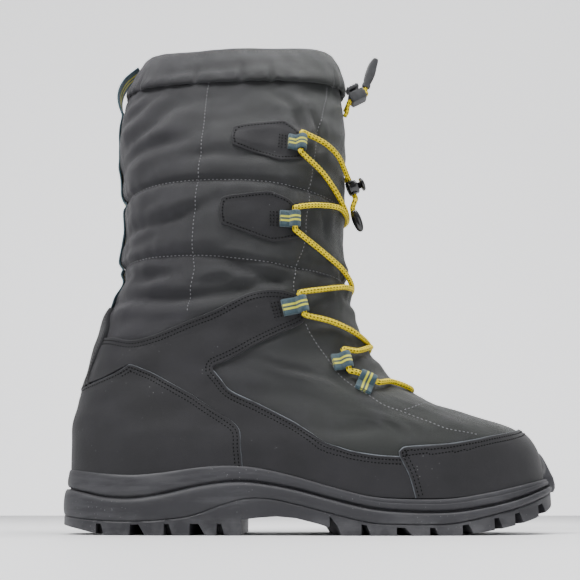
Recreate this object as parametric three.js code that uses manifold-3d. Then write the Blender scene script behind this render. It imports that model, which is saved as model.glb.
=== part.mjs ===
// Snow boot for the right foot: quilted shaft, nubuck quarters, rubber cup sole and elastic lacing.
// Lengths are millimetres. Inside this file x runs from the heel's back towards the toe,
// y runs from the last's centre line to the inner (medial) side and z runs up from the floor.
// The boot group then moves everything so that the origin is under the middle of the boot.
import * as THREE from 'three';
import { mergeVertices } from 'three/addons/utils/BufferGeometryUtils.js';
import Module from 'manifold-3d';

const wasm = await Module();
wasm.setup();

// ---------------------------------------------------------------- driving dimensions
const CENTRE_X = 153.8; // middle of the sole's length, from the heel's back
const CENTRE_Y = 2.7; // middle of the sole's width, from the last's centre line
const GAP = 0.3; // clearance between touching pieces
const WALL = 5; // padded wall: shell cloth, wadding and lining
const CUP_DEPTH = 6; // how far the upper sits down inside the midsole
const PANEL_THICKNESS = 1.5; // nubuck quarter panel
const COUNTER_THICKNESS = 2; // heel counter and toe cap with their stiffeners
const LACE_DIAMETER = 3.8;
const WEBBING_THICKNESS = 1.3;
const LOOP_WIDTH = 10.5; // width of the webbing used for the lace loops
const AROUND = 40; // points around one section of the upper and of the sole
const HEM_LEVEL = 14; // section where the collar cuff is sewn on
const COLLAR_LEVEL = 15;

// One row for each section of the upper, from the lasting edge to the collar's rim.
// A section is the closed outline in the plane through its back point and its front point.
const UPPER_SECTIONS = [
  // backX backZ frontX frontZ half widest backPow frontPow waist toeShift sag
  [5.5, 33, 300.5, 28, 49, 0.68, 2.7, 2.35, 0.15, 9, 0], // lasting edge
  [4.8, 50, 297, 50, 50, 0.68, 2.7, 2.3, 0.13, 9, 0], // side wall
  [4.6, 64, 286, 62, 48, 0.66, 2.6, 2.3, 0.1, 8, 0], // top of the toe
  [7.5, 84, 261, 69.5, 45, 0.62, 2.5, 2.25, 0.07, 7, 0], // low vamp
  [11, 98, 234, 79, 42.5, 0.58, 2.4, 2.2, 0.04, 5, 0], // vamp
  [14.5, 112, 209, 94, 41, 0.52, 2.3, 2.2, 0.02, 3, 0], // instep
  [19, 130, 190.5, 117, 40.5, 0.5, 2.25, 2.2, 0, 1, 0], // throat
  [25.5, 147, 182, 141, 40.5, 0.5, 2.2, 2.2, 0, 0, 0], // ankle
  [32, 160, 179, 159, 40, 0.5, 2.2, 2.2, 0, 0, 0], // ankle fold
  [29.5, 172, 177.8, 171, 41.5, 0.5, 2.2, 2.2, 0, 0, 0], // lower quilting seam
  [30, 195, 176.5, 193, 45, 0.5, 2.2, 2.2, 0, 0, 0], // middle of the lower puff
  [28.3, 219, 177.5, 218, 46, 0.5, 2.2, 2.2, 0, 0, 0], // upper quilting seam
  [23.3, 249, 178.8, 248, 45, 0.5, 2.2, 2.2, 0, 0, 1], // middle of the upper puff
  [24, 278, 178.8, 278, 40, 0.5, 2.2, 2.2, 0, 0, 3], // top of the upper puff
  [28, 297, 176.5, 297, 36, 0.5, 2.1, 2.1, 0, 0, 6], // cuff hem
  [37, 325, 171, 330, 31, 0.5, 2, 2, 0, 0, 12], // collar rim
];
const [BACK_X, BACK_Z, FRONT_X, FRONT_Z, HALF_WIDTH, WIDEST] = [0, 1, 2, 3, 4, 5];
const [BACK_POWER, FRONT_POWER, WAIST, TOE_SHIFT, SAG] = [6, 7, 8, 9, 10];
const EDGE = UPPER_SECTIONS[0];
const WAIST_CENTRE = 0.4; // where along the foot the arch pinches the outline
const WAIST_SPREAD = 0.17;
const MEDIAL_WAIST = 1.25; // the arch is deeper on the inner side
const LATERAL_WAIST = 0.75;
const SHIFT_START = 0.3; // the forefoot swings inwards from here on

// Heights of the sole's lines, by distance from the heel's back.
const SOLE_LINES = [
  // x   top  seam  tread ground
  [-4, 39.8, 28.8, 11.8, 7.0],
  [15, 37.2, 25.2, 9.2, 3.4],
  [30, 35.4, 22.2, 8.0, 0.6],
  [48, 34.4, 21.3, 7.6, 0],
  [66, 35.7, 23.6, 8.4, 0],
  [84, 38.2, 27.5, 10.8, 0],
  [100, 39.5, 30.0, 16.4, 0],
  [114, 39.0, 30.5, 20.2, 0],
  [128, 36.8, 28.9, 20.2, 0],
  [144, 33.0, 25.8, 17.0, 0],
  [163, 27.6, 20.8, 12.2, 0],
  [186, 21.9, 15.4, 6.9, 0],
  [207, 20.3, 13.4, 6.0, 0],
  [233, 20.6, 13.4, 6.4, 0],
  [256, 23.9, 16.5, 10.8, 2.6],
  [276, 28.0, 21.0, 15.6, 6.6],
  [292, 31.4, 26.0, 20.8, 11.6],
  [310, 35.4, 32.0, 27.4, 20.6],
];
const [TOP, SEAM, TREAD, GROUND] = [1, 2, 3, 4];

// ---------------------------------------------------------------- numbers and curves
const clamp = (value, low, high) => Math.min(Math.max(value, low), high);
const mix = (a, b, t) => a + (b - a) * t;
const vec = (x, y, z) => new THREE.Vector3(x, y, z);

// Cubic Hermite blend of two values with their slopes, t from 0 to 1.
function hermite(a, b, slopeA, slopeB, t) {
  const t2 = t * t;
  const t3 = t2 * t;
  return (2 * t3 - 3 * t2 + 1) * a + (t3 - 2 * t2 + t) * slopeA
    + (3 * t2 - 2 * t3) * b + (t3 - t2) * slopeB;
}

// Smooth row of the section table at a level that need not be whole.
function sectionAt(level) {
  const last = UPPER_SECTIONS.length - 1;
  const i = Math.min(Math.floor(level), last - 1);
  const before = UPPER_SECTIONS[Math.max(i - 1, 0)];
  const low = UPPER_SECTIONS[i];
  const high = UPPER_SECTIONS[i + 1];
  const after = UPPER_SECTIONS[Math.min(i + 2, last)];
  return low.map((value, k) => {
    const slopeLow = i > 0 ? (high[k] - before[k]) / 2 : high[k] - value;
    const slopeHigh = i + 2 <= last ? (after[k] - value) / 2 : high[k] - value;
    return hermite(value, high[k], slopeLow, slopeHigh, level - i);
  });
}

// Height of one of the sole's lines at a distance x from the heel's back. None dips under the floor.
function soleLine(column, x) {
  const rows = SOLE_LINES;
  const last = rows.length - 1;
  const place = clamp(x, rows[0][0], rows[last][0]);
  let i = 0;
  while (i < last - 1 && rows[i + 1][0] <= place) i += 1;
  const slope = (j) => {
    const a = rows[Math.max(j - 1, 0)];
    const b = rows[Math.min(j + 1, last)];
    return (b[column] - a[column]) / (b[0] - a[0]);
  };
  const run = rows[i + 1][0] - rows[i][0];
  const t = (place - rows[i][0]) / run;
  return Math.max(0, hermite(rows[i][column], rows[i + 1][column], slope(i) * run, slope(i + 1) * run, t));
}

// ---------------------------------------------------------------- the upper's own surface
// angle 0 is the front, positive angles run round the inner side, PI is the back.
function surfacePoint(level, angle) {
  const row = sectionAt(clamp(level, 0, COLLAR_LEVEL));
  const reach = Math.abs(Math.cos(angle));
  const inFront = Math.cos(angle) >= 0;
  const side = Math.sign(Math.sin(angle));
  const widest = row[WIDEST];
  const along = inFront ? widest + (1 - widest) * reach : widest - widest * reach;
  const power = inFront ? row[FRONT_POWER] : row[BACK_POWER];
  const bulge = Math.max(1 - reach ** power, 0) ** (1 / power);
  const pinch = Math.exp(-(((along - WAIST_CENTRE) / WAIST_SPREAD) ** 2));
  const arch = 1 - row[WAIST] * (side > 0 ? MEDIAL_WAIST : LATERAL_WAIST) * pinch;
  const swing = clamp((along - SHIFT_START) / (1 - SHIFT_START), 0, 1) ** 2;
  const x = mix(row[BACK_X], row[FRONT_X], along);
  const y = side * row[HALF_WIDTH] * bulge * arch + row[TOE_SHIFT] * swing;
  const flat = mix(row[BACK_Z], row[FRONT_Z], along) - row[SAG] * bulge * bulge;
  // the lasting edge follows the sole's wavy top line, and that wave fades over the first section
  const wave = soleLine(TOP, x) - CUP_DEPTH - mix(EDGE[BACK_Z], EDGE[FRONT_Z], along);
  return vec(x, y, flat + wave * clamp(1 - level, 0, 1));
}

// Outward normal, held level at the lasting edge so that the bottom rim stays flat.
function surfaceNormal(level, angle) {
  const stepLevel = 0.02;
  const stepAngle = 0.04;
  const up = surfacePoint(Math.min(level + stepLevel, COLLAR_LEVEL), angle)
    .sub(surfacePoint(Math.max(level - stepLevel, 0), angle));
  const around = surfacePoint(level, angle + stepAngle).sub(surfacePoint(level, angle - stepAngle));
  const normal = around.cross(up).normalize();
  normal.z *= clamp(level, 0, 1);
  return normal.normalize();
}

const lifted = (level, angle, lift) =>
  surfacePoint(level, angle).addScaledVector(surfaceNormal(level, angle), lift);

// Lowest level, up to the top of the toe, at which the surface passes a test, found by halving.
function levelWhere(angle, passes) {
  let low = 0;
  let high = 2;
  for (let i = 0; i < 20; i += 1) {
    const middle = (low + high) / 2;
    if (passes(surfacePoint(middle, angle))) high = middle;
    else low = middle;
  }
  return high;
}

// ---------------------------------------------------------------- closed meshes
// A closed THREE geometry from points and faces, turned so that its faces point out.
function closedGeometry(points, faces) {
  const geometry = new THREE.BufferGeometry();
  geometry.setAttribute('position', new THREE.Float32BufferAttribute(points.flatMap((p) => [p.x, p.y, p.z]), 3));
  const volume = faces.reduce((sum, [a, b, c]) =>
    sum + points[a].dot(points[b].clone().cross(points[c])), 0);
  geometry.setIndex(faces.flatMap(([a, b, c]) => (volume > 0 ? [a, b, c] : [a, c, b])));
  return geometry;
}

// Faces of a strip of quads between two rows of equal length, given as point indices.
function strip(lower, upper) {
  const faces = [];
  for (let i = 0; i < lower.length - 1; i += 1) {
    faces.push([lower[i], lower[i + 1], upper[i + 1]]);
    faces.push([lower[i], upper[i + 1], upper[i]]);
  }
  return faces;
}

// Solid between rings of points. A hollow solid's last ring joins its first; any other solid is
// capped by strips across it, from each point to its partner on the other side.
function ringSolid(rings, hollow) {
  const count = rings[0].length;
  const points = rings.flat();
  const indices = rings.map((ring, k) => [...ring.keys(), 0].map((i) => k * count + i));
  const faces = [];
  for (let k = 0; k < rings.length - 1; k += 1) faces.push(...strip(indices[k], indices[k + 1]));
  if (hollow) {
    faces.push(...strip(indices[rings.length - 1], indices[0]));
    return closedGeometry(points, faces);
  }
  const half = count / 2;
  const cap = (ring, flip) => {
    const left = ring.slice(0, half + 1);
    const right = [ring[0], ...ring.slice(half, count).reverse()];
    const across = strip(left, right).filter(([a, b, c]) => a !== b && b !== c && a !== c);
    faces.push(...across.map(([a, b, c]) => (flip ? [a, c, b] : [a, b, c])));
  };
  cap(indices[0], true);
  cap(indices[rings.length - 1], false);
  return closedGeometry(points, faces);
}

// Solid between an outer and an inner grid of points, closed along its four edges.
function panelSolid(outer, inner) {
  const rows = outer.length;
  const columns = outer[0].length;
  const points = [...outer.flat(), ...inner.flat()];
  const row = (sheet, j) => [...Array(columns).keys()].map((i) => sheet * rows * columns + j * columns + i);
  const column = (sheet, i) => [...Array(rows).keys()].map((j) => sheet * rows * columns + j * columns + i);
  const faces = [];
  for (let j = 0; j < rows - 1; j += 1) {
    faces.push(...strip(row(0, j), row(0, j + 1)));
    faces.push(...strip(row(1, j + 1), row(1, j)));
  }
  faces.push(...strip(row(1, 0), row(0, 0)), ...strip(row(0, rows - 1), row(1, rows - 1)));
  faces.push(...strip(column(0, 0), column(1, 0)), ...strip(column(1, columns - 1), column(0, columns - 1)));
  return closedGeometry(points, faces);
}

// ---------------------------------------------------------------- booleans
function toManifold(source) {
  const geometry = source.clone();
  geometry.deleteAttribute('normal');
  geometry.deleteAttribute('uv');
  const merged = mergeVertices(geometry, 1e-4);
  return new wasm.Manifold(new wasm.Mesh({
    numProp: 3,
    vertProperties: new Float32Array(merged.attributes.position.array),
    triVerts: new Uint32Array(merged.index.array),
  }));
}

function toGeometry(manifold) {
  const { vertProperties, triVerts } = manifold.getMesh();
  const geometry = new THREE.BufferGeometry();
  geometry.setAttribute('position', new THREE.BufferAttribute(new Float32Array(vertProperties), 3));
  geometry.setIndex(new THREE.BufferAttribute(new Uint32Array(triVerts), 1));
  return geometry;
}

const subtractAll = (solid, cutters) => cutters.reduce((rest, cutter) => rest.subtract(toManifold(cutter)), solid);

// The largest body of a cut solid, without the slivers that a cut along a curve leaves.
const mainBody = (solid) => solid.decompose().reduce((a, b) => (a.volume() > b.volume() ? a : b));

// Outline in the side view (x, z), extruded across the boot from y = from to y = to.
function sidePrism(shape, from, to) {
  const prism = new THREE.ExtrudeGeometry(shape, { depth: to - from, bevelEnabled: false, curveSegments: 8 });
  prism.rotateX(Math.PI / 2);
  prism.translate(0, to, 0);
  return prism;
}

const outlineShape = (points) => new THREE.Shape(points.map(([x, z]) => new THREE.Vector2(x, z)));

// ---------------------------------------------------------------- materials
const finish = (color, roughness, metalness = 0) => () => new THREE.MeshStandardMaterial({ color, roughness, metalness });
const rubber = finish('#55575b', 0.8);
const shellCloth = finish('#55565a', 0.75);
const nubuck = finish('#48494c', 0.9);
const webbing = finish('#4f7180', 0.7);
const laceCord = finish('#f0cf1b', 0.6);
const glossPlastic = finish('#141416', 0.25);
const mattPlastic = finish('#2b2c2f', 0.55);
const foam = finish('#6b6c70', 0.95);

const boot = new THREE.Group();
boot.position.set(-CENTRE_X, -CENTRE_Y, 0);

function addPiece(name, geometry, material) {
  const mesh = new THREE.Mesh(geometry, material());
  mesh.name = name;
  boot.add(mesh);
  return mesh;
}

// ---------------------------------------------------------------- sole unit
const angles = [...Array(AROUND).keys()].map((i) => (2 * Math.PI * i) / AROUND);

// Point on the sole's outline, moved out from the lasting edge, on one of the sole's lines.
function soleEdge(angle, out, column, rise) {
  const point = lifted(0, angle, out);
  point.z = soleLine(column, point.x) + rise;
  return point;
}

const soleRing = (out, column, rise) => angles.map((angle) => soleEdge(angle, out, column, rise));

function midsole() {
  // out from the lasting edge, sole line, rise above that line
  const profile = [
    [4.0, TREAD, GAP / 2],
    [5.1, TREAD, 1.6],
    [5.6, TREAD, 4.2],
    [5.2, SEAM, -2.2],
    [4.4, SEAM, -1.0],
    [2.4, SEAM, -0.4],
    [2.4, SEAM, 0.4],
    [3.4, SEAM, 1.2],
    [3.8, SEAM, 3.0],
    [3.4, TOP, -1.6],
    [2.6, TOP, -0.4],
    [2.0, TOP, 0],
    [1.3, TOP, -0.2],
    [GAP, TOP, -CUP_DEPTH - GAP],
  ];
  return ringSolid(profile.map(([out, column, rise]) => soleRing(out, column, rise)), false);
}

// Notches between the lugs, cut from each side of the sole: place along the foot, width on the
// ground, how far they run in from the edge, and the turn that gives the tread its chevrons.
const NOTCHES = [
  { x: 27, width: 5, reach: 14, turn: 0 },
  { x: 48, width: 9, reach: 60, turn: -6 },
  { x: 68, width: 5, reach: 14, turn: 0 },
  { x: 83, width: 9, reach: 60, turn: -6 },
  { x: 98.5, width: 4.5, reach: 14, turn: 0 },
  { x: 163, width: 7, reach: 60, turn: 8 },
  { x: 181, width: 5.5, reach: 18, turn: 8 },
  { x: 201, width: 9, reach: 60, turn: 10 },
  { x: 220, width: 5, reach: 18, turn: 10 },
  { x: 239, width: 6.5, reach: 60, turn: 12 },
  { x: 258.5, width: 5, reach: 18, turn: 14 },
  { x: 272, width: 5.5, reach: 60, turn: 16 },
  { x: 289, width: 6, reach: 20, turn: 20 },
];
const SOLE_HALF = 62; // beyond the widest place of the sole
const EDGE_HALF = 44; // distance from the middle line at which a notch's x is given
const RIB_HALF = 5; // solid rib that is left along the middle of the tread
const WEB = 1.6; // least rubber left above a notch
const NOTCH_DEPTH = 6.4;

// One notch: upright towards the heel and slanted towards the toe, as seen from the side.
function notchCutter({ x, width, reach, turn }, side) {
  const shift = EDGE_HALF * Math.sin(THREE.MathUtils.degToRad(turn));
  const thinnest = Math.min(soleLine(TREAD, x - 6 - shift), soleLine(TREAD, x + width + 10));
  const roof = Math.min(thinnest - WEB, soleLine(GROUND, x) + NOTCH_DEPTH);
  const shape = outlineShape([[0, -2], [0, roof], [width * 0.55, roof], [width, soleLine(GROUND, x)], [width, -2]]);
  const inner = Math.max(SOLE_HALF - reach - 10, RIB_HALF);
  const cutter = sidePrism(shape, side > 0 ? inner : -SOLE_HALF, side > 0 ? SOLE_HALF : -inner);
  cutter.rotateZ(THREE.MathUtils.degToRad(-side * turn));
  cutter.translate(x - shift, 0, 0);
  return cutter;
}

function outsole() {
  const profile = [
    [3.4, GROUND, 0],
    [4.3, GROUND, 1.2],
    [5.0, TREAD, -2.4],
    [5.2, TREAD, -1.0],
    [4.4, TREAD, -GAP / 2],
  ];
  const blank = toManifold(ringSolid(profile.map(([out, column, rise]) => soleRing(out, column, rise)), false));
  // the arch between the heel's breast and the first forefoot lug stands clear of the floor
  const archCut = outlineShape([[112.5, -3], [112.5, 8.8], [122, 9.9], [133, 10.6], [144, 9.6], [156, 6.6],
    [163, 4.6], [166.5, -3]]);
  const cutters = [sidePrism(archCut, -SOLE_HALF, SOLE_HALF)];
  for (const notch of NOTCHES) {
    cutters.push(notchCutter(notch, 1));
    cutters.push(notchCutter(notch, -1));
  }
  return toGeometry(subtractAll(blank, cutters));
}

// Rubber toe bumper that rises from the sole over the front of the toe cap.
function toeBumper() {
  const spread = 0.29; // half angle that it covers
  // height, distance of its back and of its face from the upper's surface
  const heights = [
    { z: 25.6, back: 5.9, face: 7.2 },
    { z: 29, back: 5.9, face: 8.1 },
    { z: 34, back: 5.9, face: 7.9 },
    { z: 35.6, back: 5.9, face: 7.6 },
    { z: 36.8, back: 2.7, face: 7.2 },
    { z: 43, back: 2.7, face: 6.4 },
    { z: 49, back: 2.7, face: 4.9 },
  ];
  const columns = 11;
  const point = (angle, row, key) => {
    const shoulder = (angle / spread) ** 2;
    const z = row.z > 37 ? mix(row.z, 37 + (row.z - 37) * 0.12, shoulder) : row.z;
    const level = clamp((z - 29) / 21, 0, 1);
    const foot = surfacePoint(level, angle);
    const out = surfaceNormal(0, angle).multiplyScalar(row[key]);
    return vec(foot.x + out.x, foot.y + out.y, z);
  };
  const grid = (key) => heights.map((row) => [...Array(columns).keys()]
    .map((i) => point(mix(-spread, spread, i / (columns - 1)), row, key)));
  return panelSolid(grid('face'), grid('back'));
}

function insole() {
  const inset = -(WALL + 2.4);
  const thickness = 3;
  const ring = (rise) => soleRing(inset, TOP, rise - CUP_DEPTH);
  return ringSolid([ring(0), ring(thickness)], false);
}

addPiece('outsole', outsole(), rubber);
addPiece('midsole', midsole(), rubber);
addPiece('toe_bumper', toeBumper(), rubber);
addPiece('insole', insole(), foam);

// ---------------------------------------------------------------- upper
const upperRing = (level, lift) => angles.map((angle) => lifted(level, angle, lift));

// Levels from one section to another, with a number of steps between two sections.
function levels(from, to, perSection) {
  const steps = Math.round((to - from) * perSection);
  return [...Array(steps + 1).keys()].map((k) => mix(from, to, k / steps));
}

const SHAFT_LEVEL = 8; // the shaft above the ankle fold needs fewer sections
const UPPER_TOP = HEM_LEVEL + 0.25; // the shaft's edge, hidden inside the cuff
const OUTSIDE_LEVELS = [...levels(0, SHAFT_LEVEL, 2), ...levels(SHAFT_LEVEL + 1, HEM_LEVEL, 1), UPPER_TOP];
const INSIDE_LEVELS = [...levels(0, HEM_LEVEL, 1), UPPER_TOP];

function upper() {
  const outside = OUTSIDE_LEVELS.map((level) => upperRing(level, 0));
  const inside = INSIDE_LEVELS.map((level) => upperRing(level, -WALL)).reverse();
  return ringSolid([...outside, ...inside], true);
}

// Rolled cuff that carries the drawcord: it laps over the top of the shaft.
function cuff() {
  // level, distance from the upper's own surface
  const profile = [
    [HEM_LEVEL, 0.4],
    [HEM_LEVEL - 0.02, 1.4],
    [HEM_LEVEL + 0.1, 2.6],
    [HEM_LEVEL + 0.4, 3.0],
    [HEM_LEVEL + 0.75, 2.0],
    [HEM_LEVEL + 0.93, 0.8],
    [COLLAR_LEVEL, -1.2],
    [COLLAR_LEVEL, -4.0],
    [HEM_LEVEL + 0.9, -WALL - 0.8],
    [HEM_LEVEL + 0.5, -WALL - 1],
    [HEM_LEVEL + 0.3, -WALL],
    [HEM_LEVEL + 0.27, 0.4],
  ];
  return ringSolid(profile.map(([level, lift]) => upperRing(level, lift)), true);
}

addPiece('upper', upper(), shellCloth);
addPiece('cuff', cuff(), shellCloth);

// ---------------------------------------------------------------- nubuck overlays
const SOLE_CLEARANCE = 1.2; // the overlays end this far above the sole
const BEHIND = -12; // behind the heel

const formAt = (lift) =>
  toManifold(ringSolid(levels(0, SHAFT_LEVEL, 2).map((level) => upperRing(level, lift)), false));

// Skin of the given thickness on the upper, kept where the side view outline covers it.
function overlay(thickness, shape, cutters) {
  const skin = formAt(GAP + thickness).subtract(formAt(GAP));
  const kept = skin.intersect(toManifold(sidePrism(shape, -SOLE_HALF, SOLE_HALF)));
  return toGeometry(mainBody(subtractAll(kept, cutters)));
}

// Points along the sole's top line, just above it, from one place to another.
function alongSoleTop(from, to, steps) {
  return [...Array(steps + 1).keys()].map((i) => {
    const x = mix(from, to, i / steps);
    return [x, soleLine(TOP, x) + SOLE_CLEARANCE];
  });
}

// Heel counter, seen from the side. A wider copy of it trims the pieces around it.
function counterShape(grow) {
  return outlineShape([
    [BEHIND, 86 + grow], [16, 89.4 + grow], [30, 95.2 + grow], [42, 101 + grow], [50, 98.8 + grow],
    [59.5, 93.8 + grow], [79, 83 + grow], [94.5 + grow, 73.8 + grow], [104.4 + grow, 67 + grow],
    [110.4 + grow, 58.8], [112.4 + grow, 50], [113.2 + grow, soleLine(TOP, 113) + SOLE_CLEARANCE],
    ...(grow > 0 ? [[113.2 + grow, 20], [BEHIND, 20]] : alongSoleTop(108, BEHIND, 10)),
  ]);
}

// Back stay over the heel seam, above the counter.
function stayShape(grow) {
  return outlineShape([
    [BEHIND, 87], [15.5 + grow, 90], [13.5 + grow, 95.4], [15.2 + grow, 102], [18.4 + grow, 109],
    [22 + grow, 116.5], [23.8 + grow, 123.6], [24.3 + grow, 132], [25.4 + grow, 141 + grow],
    [BEHIND, 144 + grow],
  ]);
}

// Quarter panel: up from the sole, round the heel, forward to the instep and down to the toe.
function quarterShape() {
  return outlineShape([
    [BEHIND, 126], [25, 122], [32, 118.4], [39, 116.8], [46, 117], [58, 120], [78, 127], [94, 133.5],
    [111, 142], [119, 145], [126, 146.6], [134, 146.8], [146, 144.6], [150.5, 137], [150, 128.5],
    [137, 120.4], [119, 111], [100, 100.4], [97, 97], [97.6, 92], [105, 84], [122, 75.6], [140.5, 66],
    [162, 53], [173, 47], [184, 44], [196, 42.4], [202.6, 41.6], [203, 38], [209.6, soleLine(TOP, 210) + SOLE_CLEARANCE],
    ...alongSoleTop(205, BEHIND, 24),
  ]);
}

// Toe cap: laid out on the upper's own levels, because its edge runs over the top of the toe.
function toeCap() {
  // angle from the front, level of the edge there
  const edge = [[0, 2.1], [0.24, 1.96], [0.5, 1.79], [0.83, 1.52], [1.0, 1.34], [1.18, 1.17], [1.43, 1.05],
    [1.53, 0.99], [1.57, 0.88]];
  const columns = [...edge.slice(1).reverse().map(([angle, level]) => [-angle, level]), ...edge];
  const rows = 7;
  const back = (angle, t) => (Math.abs(angle) > 1.56 ? angle * mix(0.965, 1, t) : angle);
  const footLevel = (angle) => levelWhere(angle, (point) => point.z > soleLine(TOP, point.x) + SOLE_CLEARANCE);
  const grid = (lift) => [...Array(rows + 1).keys()].map((j) => columns.map(([angle, top]) => {
    const turned = back(angle, j / rows);
    return lifted(mix(footLevel(turned), top, j / rows), turned, lift);
  }));
  const thick = toManifold(panelSolid(grid(GAP + COUNTER_THICKNESS), grid(-1)));
  return toGeometry(mainBody(thick.subtract(formAt(GAP))));
}

addPiece('heel_counter', overlay(COUNTER_THICKNESS, counterShape(0), []), nubuck);
addPiece('back_stay', overlay(PANEL_THICKNESS, stayShape(0), [sidePrism(counterShape(GAP), -SOLE_HALF, SOLE_HALF)]), nubuck);
addPiece('quarter_panel', overlay(PANEL_THICKNESS, quarterShape(), [
  sidePrism(counterShape(GAP), -SOLE_HALF, SOLE_HALF),
  sidePrism(stayShape(GAP), -SOLE_HALF, SOLE_HALF),
]), nubuck);
addPiece('toe_cap', toeCap(), nubuck);

// ---------------------------------------------------------------- pull loop
const PULL_WIDTH = 15;
const PULL_THICKNESS = 1.4;

// Bowed webbing strap at the back, from the cuff down to the shaft just under the hem.
function pullLoop() {
  const spine = new THREE.CatmullRomCurve3([
    vec(28.2, 0, 313), vec(24.4, 0, 309.5), vec(20.9, 0, 303), vec(19.9, 0, 296), vec(21.2, 0, 288.5), vec(22.7, 0, 282),
  ]).getPoints(12);
  const grid = (out) => spine.map((point, k) => {
    const before = spine[Math.max(k - 1, 0)];
    const after = spine[Math.min(k + 1, spine.length - 1)];
    const along = after.clone().sub(before).normalize();
    const edge = vec(along.z, 0, -along.x).multiplyScalar(out);
    return [-1, 0, 1].map((side) => vec(point.x + edge.x, (side * PULL_WIDTH) / 2, point.z + edge.z));
  });
  return panelSolid(grid(0), grid(-PULL_THICKNESS));
}

addPiece('pull_loop', pullLoop(), webbing);

// ---------------------------------------------------------------- lace loops
const BULB = LACE_DIAMETER / 2 + 0.35 + WEBBING_THICKNESS; // radius of the rounded end round the lace

// Outer side's loops from the top down: where the loop's middle sits on the upper, how far its
// strap turns up from running straight forward, its length, and what it is sewn on top of.
const LOOPS = [
  { level: 11.9, angle: 0.99, turn: -3, length: 13, lift: 1.5 },
  { level: 9.95, angle: 1.06, turn: 0, length: 14, lift: 1.5 },
  { level: 6.7, angle: 1.07, turn: 14, length: 17, lift: 2.3 },
  { level: 5.25, angle: 0.87, turn: 14, length: 13, lift: 0.9 },
  { level: 4.4, angle: 0.93, turn: 72, length: 15, lift: 0.9 },
];

// Place and directions of one loop. side is -1 on the outer side and 1 on the inner side.
function loopFrame({ level, angle, turn, length, lift }, side) {
  const out = surfaceNormal(level, side * angle);
  const strap = vec(1, 0, 0).projectOnPlane(out).normalize();
  strap.applyAxisAngle(out, THREE.MathUtils.degToRad(-side * turn));
  const across = out.clone().cross(strap).multiplyScalar(-side);
  const foot = lifted(level, side * angle, lift);
  const eye = foot.clone().addScaledVector(strap, length / 2 - BULB).addScaledVector(out, BULB);
  return { out, strap, across, foot, eye, length };
}

// Point where a lace leaves a loop's eye: way is 1 on the loop's upper side and -1 on its lower.
const eyeExit = (frame, way, beyond = 0) =>
  frame.eye.clone().addScaledVector(frame.across, way * (LOOP_WIDTH / 2 + GAP + beyond));

// Folded strap: flat and double at the rear, rounded where it turns round the lace.
function laceLoop({ out, strap, foot, length }) {
  const rear = -length / 2;
  const centre = length / 2 - BULB;
  const shape = new THREE.Shape();
  shape.moveTo(rear, 0);
  shape.lineTo(centre, 0);
  shape.absarc(centre, BULB, BULB, -Math.PI / 2, Math.PI / 2, false);
  shape.lineTo(rear, 2 * WEBBING_THICKNESS);
  const eye = new THREE.Path();
  eye.absarc(centre, BULB, BULB - WEBBING_THICKNESS, 0, 2 * Math.PI, true);
  shape.holes.push(eye);
  const geometry = new THREE.ExtrudeGeometry(shape, { depth: LOOP_WIDTH, bevelEnabled: false, curveSegments: 5 });
  geometry.translate(0, 0, -LOOP_WIDTH / 2);
  const across = strap.clone().cross(out);
  return geometry.applyMatrix4(new THREE.Matrix4().makeBasis(strap, out, across).setPosition(foot));
}

const SIDES = [['lateral', -1], ['medial', 1]];
const frames = new Map();
for (const [name, side] of SIDES) {
  frames.set(side, LOOPS.map((loop) => loopFrame(loop, side)));
  frames.get(side).forEach((frame, i) => addPiece(`lace_loop_${name}_${i + 1}`, laceLoop(frame), webbing));
}

// ---------------------------------------------------------------- lace
const TUBE_SIDES = 8;
const LACE_LIFT = LACE_DIAMETER / 2 + 0.9; // a lace's middle above the upper's own surface
const LEAD = 1.6; // a lace runs straight this far out of an eye

// Solid cord along a smooth curve through the points, with a step every two diameters or so.
function cord(points, diameter) {
  const path = new THREE.CatmullRomCurve3(points, false, 'centripetal');
  const section = new THREE.Shape([...Array(TUBE_SIDES).keys()].map((i) => {
    const angle = (2 * Math.PI * i) / TUBE_SIDES;
    return new THREE.Vector2(Math.cos(angle), Math.sin(angle)).multiplyScalar(diameter / 2);
  }));
  const steps = Math.max(3, Math.round(path.getLength() / (2.2 * diameter)));
  return new THREE.ExtrudeGeometry(section, { steps, bevelEnabled: false, extrudePath: path });
}

// Points just over the upper for [level, angle] rows given for a cord that starts on the outer
// side; side -1 keeps them and side 1 mirrors them.
const overUpper = (rows, side) => rows.map(([level, angle]) => lifted(level, -side * angle, LACE_LIFT));

// Crossings from the top down: each route leaves the lower side of a loop, passes over the front
// line at angle 0 and ends at the upper side of the next loop down on the other side.
const CROSSINGS = [
  { from: 0, route: [[11.3, -0.69], [10.82, -0.4], [10.55, 0], [10.58, 0.4], [10.45, 0.76]] },
  { from: 1, route: [[9.15, -0.7], [8.45, -0.36], [7.85, 0], [7.65, 0.4], [7.4, 0.72]] },
  { from: 2, route: [[6.4, -0.72], [6.2, -0.42], [6.0, 0], [5.85, 0.3], [5.66, 0.58]] },
];

function crossingCord({ from, route }, side) {
  const start = frames.get(side)[from];
  const end = frames.get(-side)[from + 1];
  return cord([
    eyeExit(start, -1), eyeExit(start, -1, LEAD),
    ...overUpper(route, side),
    eyeExit(end, 1, LEAD), eyeExit(end, 1),
  ], LACE_DIAMETER);
}

CROSSINGS.forEach((crossing, i) => {
  const joined = toManifold(crossingCord(crossing, -1)).add(toManifold(crossingCord(crossing, 1)));
  addPiece(`lace_crossing_${i + 1}`, toGeometry(joined), laceCord);
});

const FOURTH = 3;
const FIFTH = 4;
for (const [name, side] of SIDES) {
  const [above, below] = [frames.get(side)[FOURTH], frames.get(side)[FIFTH]];
  addPiece(`lace_link_${name}`, cord([
    eyeExit(above, -1), eyeExit(above, -1, LEAD), eyeExit(below, 1, LEAD), eyeExit(below, 1),
  ], LACE_DIAMETER), laceCord);
}

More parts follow.
